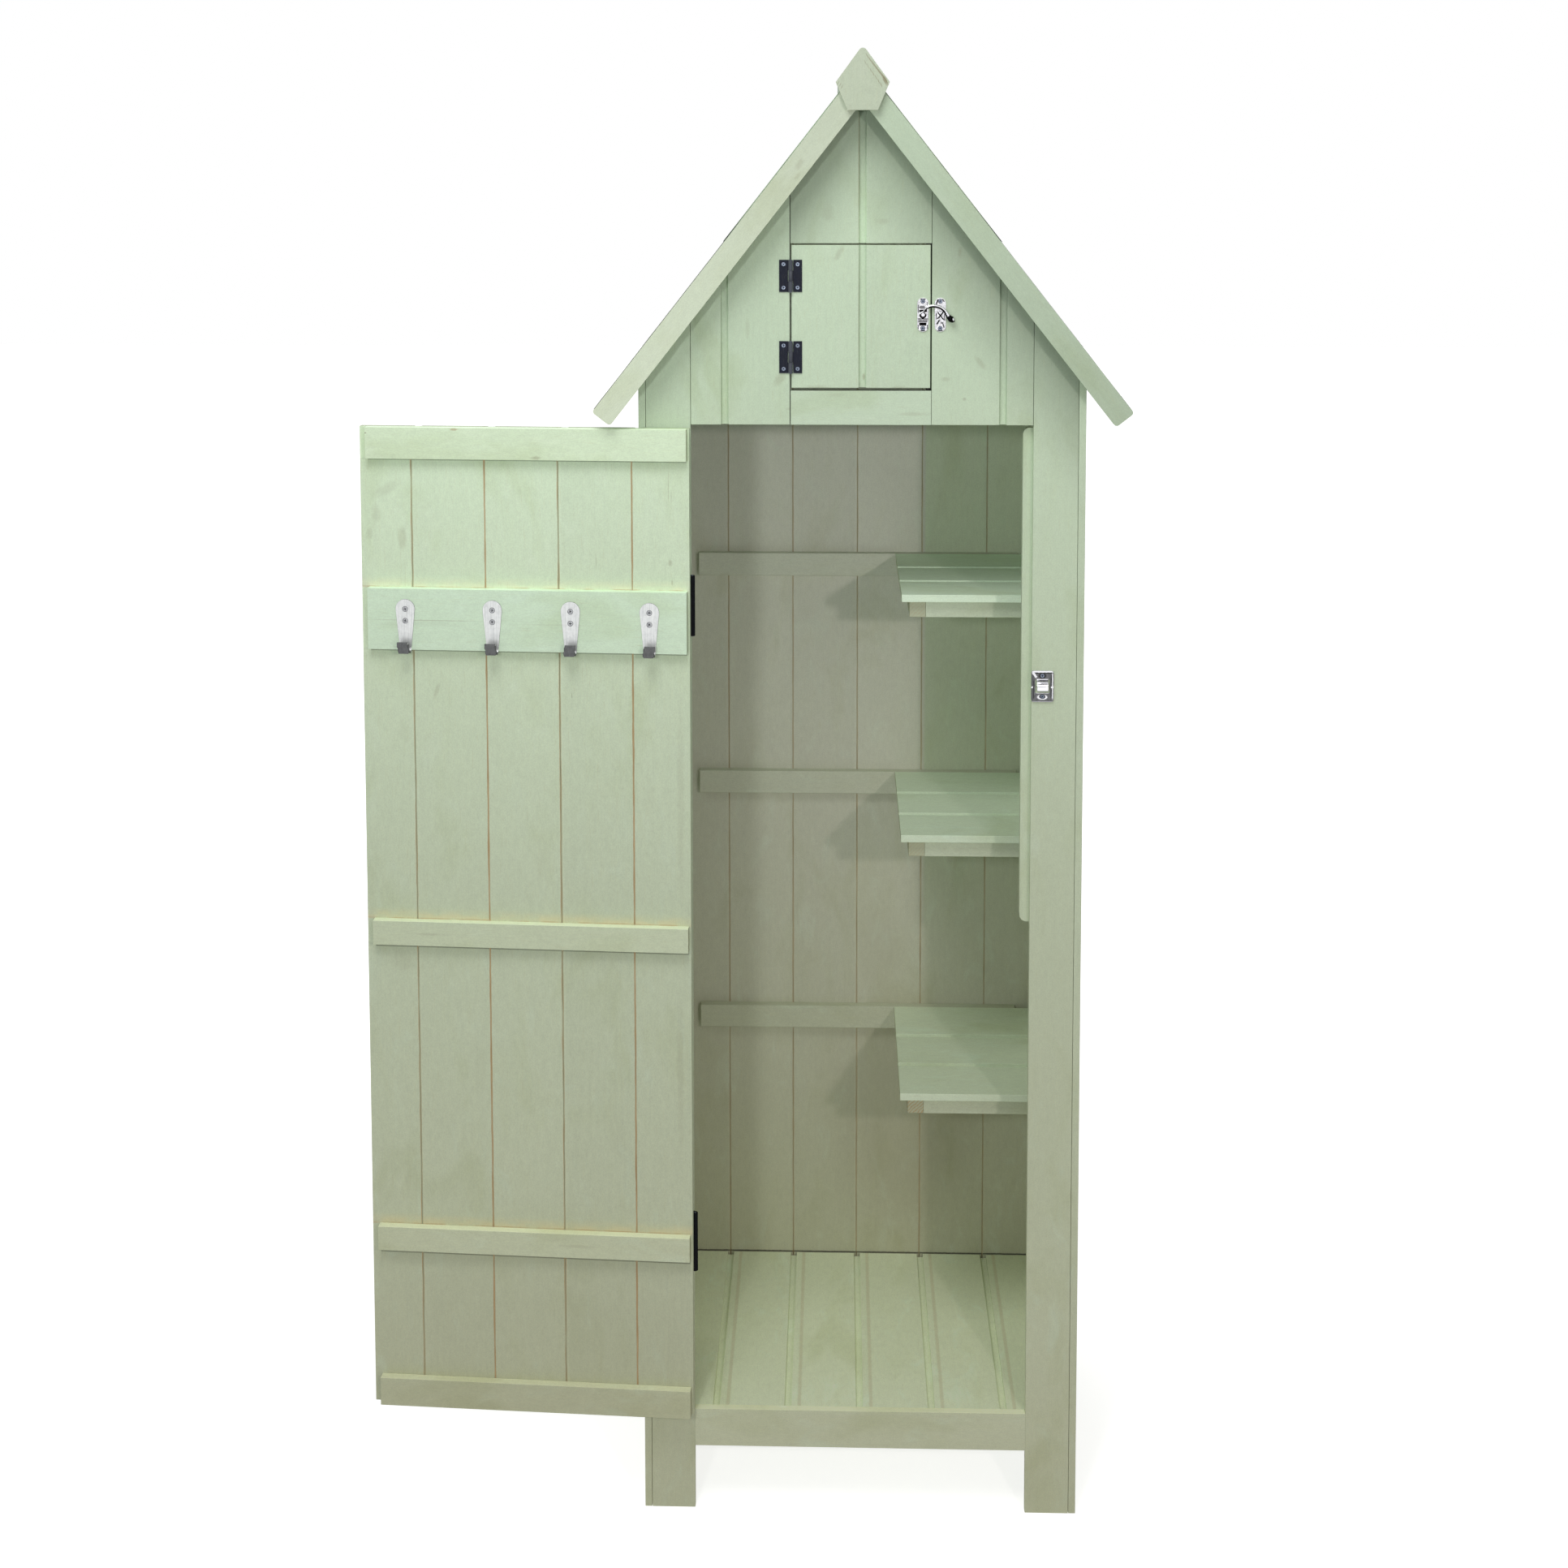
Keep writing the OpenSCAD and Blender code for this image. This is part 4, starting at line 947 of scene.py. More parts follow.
def ring(radius: float, thickness: float, cuts: tuple[int, int]) -> bpy.types.Object:
    """Starts a piece from a ring that faces the front.

    Args:
        radius: Its radius in metres.
        thickness: The radius of its section.
        cuts: The segments around it and around its section.

    Returns:
        The ring.
    """
    bpy.ops.object.select_all(action="DESELECT")
    bpy.ops.mesh.primitive_torus_add(major_radius=radius, minor_radius=thickness, major_segments=cuts[0],
                                     minor_segments=cuts[1], rotation=(QUARTER, 0, 0))
    return bpy.context.object


def smooth(angle: float) -> None:
    """Smooths the active object's faces that meet at less than an angle in degrees."""
    bpy.ops.object.shade_smooth_by_angle(angle=math.radians(angle))


def solidify(piece: bpy.types.Object, thickness: float) -> None:
    """Gives a sheet its thickness in metres on its outer side."""
    solid = piece.modifiers.new("Thickness", "SOLIDIFY")
    solid.thickness, solid.offset = thickness, 1.0
    alone(piece)
    bpy.ops.object.modifier_apply(modifier=solid.name)


def paint(piece: bpy.types.Object, material: bpy.types.Material) -> None:
    """Gives an object one material."""
    piece.data.materials.clear()
    piece.data.materials.append(material)


def soften(node: bpy.types.Object, width: float, merge: float, angle: float) -> None:
    """Rounds a CAD node's arrises with modifiers, which leave its mesh alone.

    Args:
        node: The CAD node.
        width: The rounding's width in metres.
        merge: How near two points of the triangles have to be to count as one.
        angle: The least angle between faces that is rounded, in degrees.
    """
    node.modifiers.new("Join triangles", "WELD").merge_threshold = merge
    bevel = node.modifiers.new("Soft arrises", "BEVEL")
    bevel.width, bevel.segments, bevel.limit_method = width, 2, "ANGLE"
    bevel.angle_limit = math.radians(angle)


def finish_piece(piece: bpy.types.Object, name: str, body: str, material: bpy.types.Material) -> bpy.types.Object:
    """Names a modelled piece, puts its place into its mesh, and lets it ride.

    Args:
        piece: The modelled object.
        name: Its name.
        body: The body that it moves with.
        material: Its finish.

    Returns:
        The same object.
    """
    alone(piece)
    settle()
    piece.name = piece.data.name = name
    paint(piece, material)
    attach(piece, body)
    LOG.info("%s: %d faces, on %s", name, len(piece.data.polygons), body)
    return piece


@dataclass
class Joinery:
    """Everything made of washed pine: which way each board runs, where its joints lie, and its marks."""

    effects: Effects
    edge: float = 0.0005

    def plan(self) -> dict[str, dict]:
        """Lists how each wooden node is washed.

        Returns:
            The settings of the finish by node.
        """
        up, across, deep = Grain.UP, Grain.ACROSS, Grain.DEEP
        plan: dict[str, dict] = {}

        def wash(name: str, grain: Grain, **settings: object) -> None:
            """Adds one node to the plan."""
            plan[name] = {"grain": grain, **settings}

        self.shell(wash)
        wash("front_rail", across, tone=(1.08, 1.08, 1.09), crown=0.6)
        # The floor is washed much lighter than the walls, painted light on its upward face
        wash("floor_boards", deep, split="X", first=-173.0, last=4.0, tone=(1.52, 1.58, 1.62), bare_joints=0.20,
             joint_half=3.2, joint_shift=9.8, rear=0.13)
        wash("floor_bearers", across, inside=1.0)
        # The back wall's three marks are painted shade: a wide patch low down, a deeper one under the lowest shelf, a
        # faint one above it
        wash("back_wall_boards", up, split="X", first=BACK_FIRST_MM, last=4.0, inside=1.0, bare_joints=0.5,
             bare_side=-1.0, dirt_z=127.6, tone=(1.015, 0.99, 1.02), green_x=92.0, blemishes=marks(
                 (70, 330, 150, 250, 0.30), (140, 380, 80, 110, 0.42), (30, 560, 50, 90, 0.12)))
        wash("back_wall_battens", across, inside=1.0)
        wash("left_wall_battens", deep, inside=1.0)
        wash("shelf_cleats", deep, inside=1.0)
        # Painted shade under the bargeboards, much stronger on the right
        wash("gable_boards_left", up, split="X", first=-158.0, last=0.0, eave=0.06, eave_right=0.40,
             gap_x=HATCH_GAP_X_MM, blemishes=marks((-97, 1403, 13, 7, 0.22, -40), (-135, 1462, 4, 14, 0.12),
                                                   (-84, 1368, 9, 3, 0.16)))
        wash("gable_boards_right", up, split="X", first=171.0, last=0.0, eave=0.06, eave_right=0.40,
             blemishes=marks((115, 1554, 3.5, 9, 0.22), (98.6, 1404, 9, 4, 0.2), (139.7, 1423, 12, 5, 0.2, 50),
                             (121, 1380, 3, 3, 0.3)))
        wash("gable_boards_top", up, split="X", first=5.0, last=0.0, eave=0.34, eave_right=0.38, walls=0.5,
             blemishes=marks((24, 1590, 12, 5, 0.16), (-40, 1600, 10, 14, 0.12), (-3.9, 1660, 0.8, 140, 0.6)))
        # The sill's top and the battens' fronts get painted shade, so the gaps round the closed hatch look dark
        wash("gable_sill_board", across, tone=(1.04, 1.04, 1.06), dark_face="top",
             blemishes=marks((60, 1362, 26, 3, 0.15), (-30, 1385, 18, 3, 0.10)))
        wash("gable_battens", across, inside=1.0, dark_face="front")
        wash("rafters", across, inside=1.0)
        # The shelves are washed lighter than the walls, the upper one most, painted light
        for level, bright in (("lower", 1.22), ("middle", 1.22), ("upper", 1.36)):
            wash(f"shelf_{level}", across, inside=0.3, split="Y", first=171.2, cover=84.4, last=1.0,
                 tone=(bright * 0.95, bright, bright * 1.02))
        wash("shelf_frames", across, inside=0.3, tone=(1.02, 1.02, 1.01), butt_x=81.2)
        streaks = [(5 + 3.1 * k, 1780.6 - 4 * k, 0.75, 4.6 + 0.6 * k, 0.6 + 0.05 * k, -27) for k in range(8)]
        fine = [(3 + 3 * k, 1773 - 4.2 * k, 0.5, 4.4, 0.5 + 0.05 * k, -22) for k in range(7)]
        corner = [(-30.5 + 2.2 * k, 1752 - 2.2 * k, 0.5, 4, 0.55, 28) for k in range(4)]
        wash("finial", up, tone=(0.87, 0.81, 0.83),
             blemishes=marks(*streaks, *fine, *corner, (25.6, 1752.5, 2.6, 9, 0.7, -27)))
        wash("door_stop", up)
        self.leaves(wash)
        return plan

    @staticmethod
    def shell(wash: Callable[..., None]) -> None:
        """Plans the posts, side walls, bargeboards and roof boards of both sides with the given function."""
        up, deep = Grain.UP, Grain.DEEP
        for side in Side:
            word, left = side.word, side is Side.LEFT
            # The right stile is a little browner half way up
            stile = {} if left else {"blemishes": marks((209, 640, 120, 480, 0.10))}
            wash(f"front_stile_{word}", up, eave=0.04, eave_right=0.42, **stile)
            for name in ("rear_stile", "side_post_front", "side_post_rear"):
                wash(f"{name}_{word}", up)
            wash(f"{word}_wall_boards", up, split="Y", first=141.5, last=2.0, bare_joints=0.5,
                 bare_side=1.0 if left else -1.0)
            barge = {"run": (1.10, 0.87), "tone": (1.10, 1.01, 1.05), "blemishes": marks(
                (-1077.7, 1260.7, 5, 11, 0.2), (-1071, 1248, 3, 8, 0.15))}
            if not left:
                barge = {"run": (0.80, 0.85), "blemishes": marks(
                    (-1083, 930, 1.2, 1.2, 0.6), (-1079, 952, 0.9, 0.9, 0.5), (-1090, 915, 0.8, 0.8, 0.5))}
            wash(f"bargeboard_front_{word}", up, turn=side.turn, **barge)
            wash(f"bargeboard_rear_{word}", up, turn=side.turn)
            wash(f"ridge_board_{word}", deep)
            wash(f"roof_boards_{word}", deep, inside=0.4)

    @staticmethod
    def leaves(wash: Callable[..., None]) -> None:
        """Plans the door and the hatch with the given function."""
        up, across = Grain.UP, Grain.ACROSS
        wash("door_boards", up, turn=Turn.DOOR, split="X", first=DOOR_FIRST_MM, last=3.0, bare_joints=0.85,
             bare_side=1.0, bars=True, lift=0.27, blemishes=marks(
                 (0, 200, 420, 240, 0.13), (-175, 1275, 0.6, 22, 0.35), (-178.5, 1262, 0.5, 14, 0.3),
                 (-176.7, 1185, 3.6, 6, 0.30), (-179, 1162, 1.2, 5, 0.30), (-88, 1188, 0.7, 13, 0.30, 2),
                 (165, 1270, 24, 8, 0.14, 30), (178, 1240, 8, 16, 0.14), (186, 1215, 5, 12, 0.16),
                 (107, 1025, 15, 3.5, 0.16, 70), (147, 975, 11, 20, 0.06), (-57.5, 1023, 0.7, 5, 0.4),
                 (-150, 900, 10, 40, 0.05), (-20, 820, 14, 30, 0.05), (60, 560, 12, 40, 0.05),
                 (-110, 480, 16, 30, 0.05), (150, 420, 10, 24, 0.06), (20, 250, 16, 30, 0.06),
                 (152, 690, 20, 18, 0.12), (-188, 900, 6, 160, 0.10), (-186, 560, 6, 130, 0.12)))
        wash("door_ledges", across, turn=Turn.DOOR, lift=0.22, tone=(1.05, 1.04, 1.02), crown=0.42,
             blemishes=marks((0, 145, 420, 70, 0.20), (-19, 1311, 9, 3, 0.4), (79, 1344, 6, 2, 0.5, 0, True),
                             (186, 1339, 1.6, 1, 0.8), (188, 1319, 1.4, 1, 0.7), (120, 729, 26, 2, 0.16),
                             (-60, 344, 30, 3, 0.16)))
        wash("door_hook_rail", across, turn=Turn.DOOR, lift=0.32, tone=(0.99, 1.04, 1.08), crown=0.25,
             blemishes=marks((118, 1114, 90, 0.9, 0.30), (120, 1110, 80, 5, 0.07), (-40, 1111, 70, 0.7, 0.12)))
        wash("hatch_boards", up, split="X", first=5.0, last=0.0, gap_x=HATCH_GAP_X_MM, walls=0.5, blemishes=marks(
            (-3.9, 1480, 0.7, 100, 0.4), (-27, 1552, 14, 5, 0.20, -60), (2.5, 1406, 2.5, 6, 0.4),
            (44, 1394, 12, 3, 0.18), (-52, 1393, 18, 5, 0.2)))
        wash("hatch_battens", across, inside=1.0)

    @staticmethod
    def fill_joints(name: str, body: str, joints: list[float], middle_y: float, low: float, high: float,
                    tone: Tone) -> None:
        """Models the wash that has run into the joints of a boarded face: one uneven strip in each joint.

        Args:
            name: The piece's name.
            body: The body that it moves with; on the door, the strips are swung open with it.
            joints: The middle of each joint, in drawing millimetres.
            middle_y: The y of the strips' middle.
            low: The strips' lower end.
            high: The strips' upper end.
            tone: The strips' colour.
        """
        strips = []
        for number, x in enumerate(joints):
            strips.append(cube((0.00086, 0.0020, (high - low) / 1000), from_drawing(x, middle_y, (low + high) / 2)))
            mode("ALL")
            bpy.ops.mesh.subdivide(number_cuts=40)
            bpy.ops.transform.vertex_random(offset=0.00012, seed=number + 3)
            mode("OBJECT")
        piece = join(strips)
        if body == "door":
            piece.data.transform(opened())
        material = bpy.data.materials.new("wash in joints of " + name.replace("_", " "))
        material.use_nodes = True
        g = Graph(material.node_tree)
        place = g.get("Mapping", {0: g.get("TexCoord", {}, "Object"), 3: (1000.0,) * 3})
        run = g.noise(place, (9.0, 9.0, 60.0), 3.0, 0.6)
        colour = g.mix(g.fade(run, 0.35, 0.65), rgb(*tone), rgb(*(min(255, c + 22) for c in tone)))
        inputs = material.node_tree.nodes["Principled BSDF"].inputs
        g.put(inputs["Base Color"], colour)
        g.put(inputs["Roughness"], g.fade(run, 0.3, 0.7, 0.7, 0.85))
        finish_piece(piece, name, body, material)

    def dress(self) -> None:
        """Washes every wooden node."""
        for number, (name, settings) in enumerate(self.plan().items()):
            node = NODES[name]
            finish = WashedPine(self.effects, "washed " + name.replace("_", " "), seed=3.1 * number + 1, **settings)
            paint(node, finish.build())
            soften(node, self.edge if name != "floor_boards" else 0.4 * self.edge, MERGE_M, 40)
            LOG.info("%s: washed, grain %s", name, finish.grain.name.lower())
        back = [BACK_FIRST_MM + BOARD_MM * k + JOINT_MM for k in range(5)]
        door = [DOOR_FIRST_MM + BOARD_MM * k + JOINT_MM for k in range(4)]
        self.fill_joints("back_joint_fill", "cabin", back, 353.6, 128.0, 1400.0, (176, 166, 138))
        self.fill_joints("door_joint_fill", "door", door[1::2], 7.0, 131.0, 1344.0, (164, 168, 142))
        self.fill_joints("door_joint_resin", "door", door[0::2], 7.0, 131.0, 1344.0, (196, 164, 124))


@dataclass
class Fittings:
    """Hinges, latches, hooks and screws."""

    effects: Effects
    plate_x: float = 71.7
    catch_x: float = 92.2
    keeper_x: float = 215.8
    latch_z: float = 1480.0
    keeper_z: float = 1036.0

    @staticmethod
    def left_glints() -> tuple[Glint, ...]:
        """Lists what the hatch's plate and the pivot's head mirror."""
        return glints((0, 18.4, 3.6, 0.7, 36, "o"), (0, -18.8, 3.2, 0.6, 36, "o"), (-1, 8.8, 3.6, 1.8, 120, "o"),
                      (0.4, 4.6, 4.8, 1.3, 16), (0, 0, 4, 4, 22, "o"), (0, 0.3, 2.1, 2.1, 236, "o"),
                      (0, -4.9, 5.8, 0.6, 24), (0, -6.5, 5.4, 0.5, 70), (0, -8, 5.6, 0.6, 20),
                      (0, -11, 4.2, 1.8, 14), (-5.4, -14.2, 0.5, 2.4, 34), (5.4, -14.2, 0.5, 2.4, 34),
                      (-5.4, 7, 0.5, 4.5, 70), (5.2, 12, 0.5, 3, 60))

    @staticmethod
    def right_glints() -> tuple[Glint, ...]:
        """Lists what the gable's catch plate and its stud mirror."""
        return glints((-3.6, 15.4, 0.8, 3.2, 40, 20), (3.6, 17, 0.6, 2, 70, -30), (-3.4, 9.4, 0.6, 2.4, 50, -30),
                      (3.5, 7.6, 2, 0.8, 60, 30), (0, -0.5, 0.75, 5.6, 24, 38), (0.2, -1, 0.75, 6.2, 24, -38),
                      (-4.8, -2, 0.5, 4, 60), (4.9, -3, 0.5, 4, 60), (-2.6, -8.8, 0.8, 3, 34, 32),
                      (2.2, -9.6, 1.6, 1.2, 110, "o"), (3.8, -13, 0.6, 2.4, 60, -16), (0, -18.8, 3.4, 0.6, 46, "o"))

    @staticmethod
    def keeper_glints() -> tuple[Glint, ...]:
        """Lists what the keeper's rims, tongue and plates mirror."""
        return glints((0, 17.8, 12.8, 1.1, 226), (1.8, 15.8, 9.6, 0.5, 44), (-9.2, 13.6, 1.3, 3.8, 220, -36),
                      (-11.8, -2, 1.1, 14, 88), (-10.2, -4, 0.5, 11, 52), (12, 0, 0.6, 15.5, 216),
                      (10.6, 0, 0.6, 14, 46), (-12.6, -1.3, 1.3, 0.9, 236), (11.6, -1.3, 1.4, 0.9, 236),
                      (0, 12.6, 4.8, 3.4, 64, "o"), (0, 1.2, 6.8, 7.4, 232), (0, 3.8, 5.4, 0.6, 120),
                      (-1, 0.6, 5, 0.4, 176), (0, -6.4, 7, 1.6, 108), (0, -8.4, 7.6, 0.4, 188),
                      (0, -13.2, 6, 3.2, 224, "o"), (0, -12.6, 3.9, 2.9, 56, "o"), (0, -18.3, 12.6, 0.5, 150))

    @staticmethod
    def heads(name: str) -> list[Vector]:
        """Finds the middle of every screw head of a CAD node.

        Args:
            name: The node with the screws.

        Returns:
            The middle of each head's face, in the frame.
        """
        copy_of(NODES[name])
        mode("ALL")
        bpy.ops.mesh.remove_doubles(threshold=MERGE_M)
        bpy.ops.mesh.separate(type="LOOSE")
        mode("OBJECT")
        middles = []
        for part in list(bpy.context.selected_objects):
            points = [part.matrix_world @ vertex.co for vertex in part.data.vertices]
            face = min(point.y for point in points)
            near = [point for point in points if point.y < face + 0.0004]
            middles.append(sum(near, Vector()) / len(near) * Vector((1, 0, 1)) + Vector((0, face, 0)))
            bpy.data.objects.remove(part)
        return sorted(middles, key=lambda point: (round(point.z, 4), point.x))

    def seams(self, name: str, source: str, body: str, radius: float, tone: Tone) -> None:
        """Models the painted shade in every screw's cross recess and round its head, a dark cross and a dark ring:
        one is made, then copied to each head.

        Args:
            name: The new piece's name.
            source: The CAD node with the screws.
            body: The body that they move with.
            radius: The heads' radius in millimetres.
            tone: The painted shade's colour.
        """
        parts = [ring(radius / 1000, 0.00022, (28, 6))]
        for lean in (20, 110):
            parts.append(cube((radius * 1.24 / 1000, 0.0004, 0.00062), (0, 0.00012, 0), lean))
            mode("ALL")
            bpy.ops.mesh.bevel(offset=0.00012, segments=2, affect="EDGES")
            mode("OBJECT")
        join(parts)
        one = settle()
        copies = []
        for number, middle in enumerate(self.heads(source)):
            copies.append(copy_of(one))
            turned = Matrix.Rotation(math.radians(37 * number % 90), 4, "Y")
            copies[-1].data.transform(Matrix.Translation(middle) @ turned)
        bpy.data.objects.remove(one)
        piece = join(copies)
        smooth(40)
        recess_shade = Metal(self.effects, "dark seam of " + name.replace("_", " "), tone, tuple(c + 16 for c in tone), 0.2,
                     0.6, 0.1, 0.5, 0.0, 0.2, gloss=0.2)
        finish_piece(piece, name, body, recess_shade.build())

    def plan(self) -> list[tuple[Finish, tuple[str, ...], float]]:
        """Lists the finishes of the metal nodes.

        Returns:
            Each finish, its nodes and the rounding of their edges in metres.
        """
        e = self.effects
        latch_z = self.latch_z
        door_black = {"colour": (14, 15, 18), "dull": (30, 32, 38), "metallic": 0.0, "rough": 0.6,
                      "rough_mark": 0.2, "scratches": 0.0, "bump": 0.25, "gloss": 0.08}
        return [
            (Metal(e, "black steel", (21, 24, 38), (40, 44, 58), 0.0, 0.5, 0.2, 0.5, 0.05, 0.25, gloss=0.16,
                   barrel_x=HATCH_GAP_X_MM), ("hatch_hinge_gable_leaves", "hatch_hinge_leaves"), 0.0003),
            (Metal(e, "black steel of the stile", **door_black), ("door_hinge_stile_leaves",), 0.0003),
            (Metal(e, "black steel of the door", turn=Turn.DOOR, **door_black), ("door_hinge_leaves",), 0.0003),
            (Metal(e, "worn pin steel", (92, 98, 112), (62, 66, 76), 0.8, 0.34, 0.1, bump=0.2),
             ("hinge_pins",), 0.0002),
            (PlatedSteel(e, "plated latch steel", (self.plate_x, latch_z), 236, 226, 34, self.left_glints()),
             ("hatch_latch_plate", "hatch_latch_arm"), 0.0004),
            (PlatedSteel(e, "plated catch steel", (self.catch_x, latch_z), 236, 226, 34, self.right_glints()),
             ("hatch_keeper_plate",), 0.0004),
            (PlatedSteel(e, "plated keeper steel", (self.keeper_x, self.keeper_z), 104, 176, 52,
                         self.keeper_glints()), ("door_keeper",), 0.0003),
            (PlatedSteel(e, "plated steel of the door latch", (0.0, 0.0), 176, 200, 60, turn=Turn.DOOR),
             ("door_latch_base", "door_latch_flap"), 0.00035),
            (Metal(e, "zinc screw steel", (128, 137, 154), (92, 100, 116), 1.0, 0.3, 0.16, 0.6, 0.1),
             ("cabin_screws", "door_screws", "hatch_screws"), 0.0),
            (Metal(e, "hook screw steel", (176, 177, 180), (136, 138, 142), 1.0, 0.34, 0.16, 0.6, 0.1),
             ("hook_screws",), 0.0),
            (HookSteel(e, "satin hook steel", 1087.5), ("coat_hooks",), 0.0004)]

    def dress(self) -> None:
        """Gives every metal node its finish."""
        for finish, names, edge in self.plan():
            material = finish.build()
            for name in names:
                paint(NODES[name], material)
                if edge:
                    soften(NODES[name], edge, 0.00001, 50)
                LOG.info("%s: %s", name, finish.name)
        self.seams("cabin_screw_seams", "cabin_screws", "cabin", 2.45, (34, 37, 46))
        self.seams("hatch_screw_seams", "hatch_screws", "hatch", 2.45, (34, 37, 46))
        self.seams("hook_screw_seams", "hook_screws", "door", 3.1, (84, 85, 88))


@dataclass
class HatchArm:
    """The hatch latch's arm: an eye around the pivot and a round rod that arches over the gap to a knob.

    Each point of the path has its x and z from the pivot, how far it stands out, and the rod's radius there.
    """

    effects: Effects
    pivot: Point = (71.7, -3.45, 1480.0)
    path: tuple[tuple[float, float, float, float], ...] = (
        (1.3, 3.7, 0.0, 1.3), (2.6, 6.4, 0.1, 1.55), (5.0, 8.8, 0.3, 1.8), (8.0, 10.2, 0.5, 1.95),
        (11.5, 10.7, 0.7, 2.0), (15.0, 10.4, 0.8, 2.0), (18.5, 9.6, 0.8, 2.0), (22.0, 8.0, 0.8, 2.0),
        (25.0, 5.6, 0.8, 2.1), (27.6, 2.4, 0.9, 2.3), (29.4, -0.6, 1.4, 2.7), (31.0, -3.1, 2.2, 3.3),
        (32.9, -4.8, 2.6, 3.8), (35.2, -5.5, 2.6, 3.5), (37.2, -5.6, 2.6, 2.2))

    def draw_rod(self) -> bpy.types.Object:
        """Models the rod: a round section drawn out along the path, turned and sized at each point.

        Returns:
            The rod.
        """
        bpy.ops.mesh.primitive_circle_add(vertices=14, radius=0.001, fill_type="NGON", enter_editmode=True)
        bpy.ops.mesh.select_all(action="SELECT")
        points = [Vector((x, -out, z)) / 1000 for x, z, out, _ in self.path]
        radii = [item[3] for item in self.path]
        last = len(points) - 1
        ahead = [points[min(k + 1, last)] - points[max(k - 1, 0)] for k in range(last + 1)]
        angles = [math.atan2(way.x, way.z) for way in ahead]
        bpy.ops.transform.resize(value=(radii[0],) * 3, center_override=(0, 0, 0))
        bpy.ops.transform.rotate(value=-angles[0], orient_axis="Y", center_override=(0, 0, 0))
        bpy.ops.transform.translate(value=points[0])
        for k in range(1, last + 1):
            bpy.ops.mesh.extrude_region_move(TRANSFORM_OT_translate={"value": points[k] - points[k - 1]})
            bpy.ops.transform.rotate(value=angles[k - 1] - angles[k], orient_axis="Y", center_override=points[k])
            bpy.ops.transform.resize(value=(radii[k] / radii[k - 1],) * 3, center_override=points[k])
        outward()
        return bpy.context.object

    def build(self) -> None:
        """Models the arm and lets it stand for the CAD arm."""
        eye = ring(0.00325, 0.00105, (32, 12))
        settle()
        rod = join([self.draw_rod(), eye])
        rod.data.transform(Matrix.Translation(from_drawing(*self.pivot)))
        smooth(60)
        # The knob is a black sleeve with a painted highlight on its silver end; the rod is painted light on top and
        # dark underneath as reflections
        knob = glints((33.4, -5, 5.6, 5.2, 12, "o"), (36, -4.5, 1.4, 1.9, 240, "o"))
        plated = PlatedSteel(self.effects, "plated arm steel", (self.pivot[0], self.pivot[2]), 120, 236, 12, knob,
                             step=(-0.05, 0.22), wrapped=True)
        finish_piece(rod, "latch_arm", "hatch_latch", plated.build())
        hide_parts("hatch_latch_arm")


@dataclass
class HookTips:
    """The dark tips of the four coat hooks: one modelled, copied and bent a little to each side."""

    effects: Effects
    hooks: tuple[float, ...] = (46.8, 141.3, 235.3, 340.7)
    leans: tuple[float, ...] = (1.5, 1.1, -1.3, -1.7)
    door_left: float = -200.0
    middle_y: float = 29.35
    middle_z: float = 1082.65

    @staticmethod
    def cap() -> bpy.types.Object:
        """Models one cap around a hook's turned-up end, narrower at its foot and with rounded edges.

        Returns:
            The cap.
        """
        cap = cube((0.0126, 0.0026, 0.0135))
        mode("ALL")
        bpy.ops.mesh.subdivide(number_cuts=4)
        mode("NONE")
        mode("OBJECT")
        pick(cap.data.vertices, lambda vertex: vertex.co.z < -0.0053)
        bpy.ops.transform.resize(value=(0.93, 0.8, 1.0), center_override=(0, 0.0013, 0))
        mode("OBJECT")
        bevel = cap.modifiers.new("Round edges", "BEVEL")
        bevel.width, bevel.segments, bevel.limit_method = 0.0008, 3, "ANGLE"
        bpy.ops.object.modifier_apply(modifier=bevel.name)
        smooth(40)
        return cap

    def build(self) -> None:
        """Sets a leaning copy of the cap on each hook."""
        cap = self.cap()
        caps = []
        for u, lean in zip(self.hooks, self.leans):
            copy = copy_of(cap)
            pick(copy.data.vertices, lambda vertex: vertex.co.z > 0.001)
            bpy.ops.mesh.select_mode(type="VERT")
            bpy.ops.transform.translate(value=(-lean / 1000, 0, 0.0))
            mode("OBJECT")
            spot = from_drawing(self.door_left + u, self.middle_y, self.middle_z)
            copy.data.transform(opened() @ Matrix.Translation(spot))
            caps.append(copy)
        bpy.data.objects.remove(cap)
        capped = Metal(self.effects, "dark dipped tip", (96, 97, 99), (72, 73, 75), 0.1, 0.5, scratches=0.15,
                       turn=Turn.DOOR)
        finish_piece(join(caps), "hook_tips", "door", capped.build())


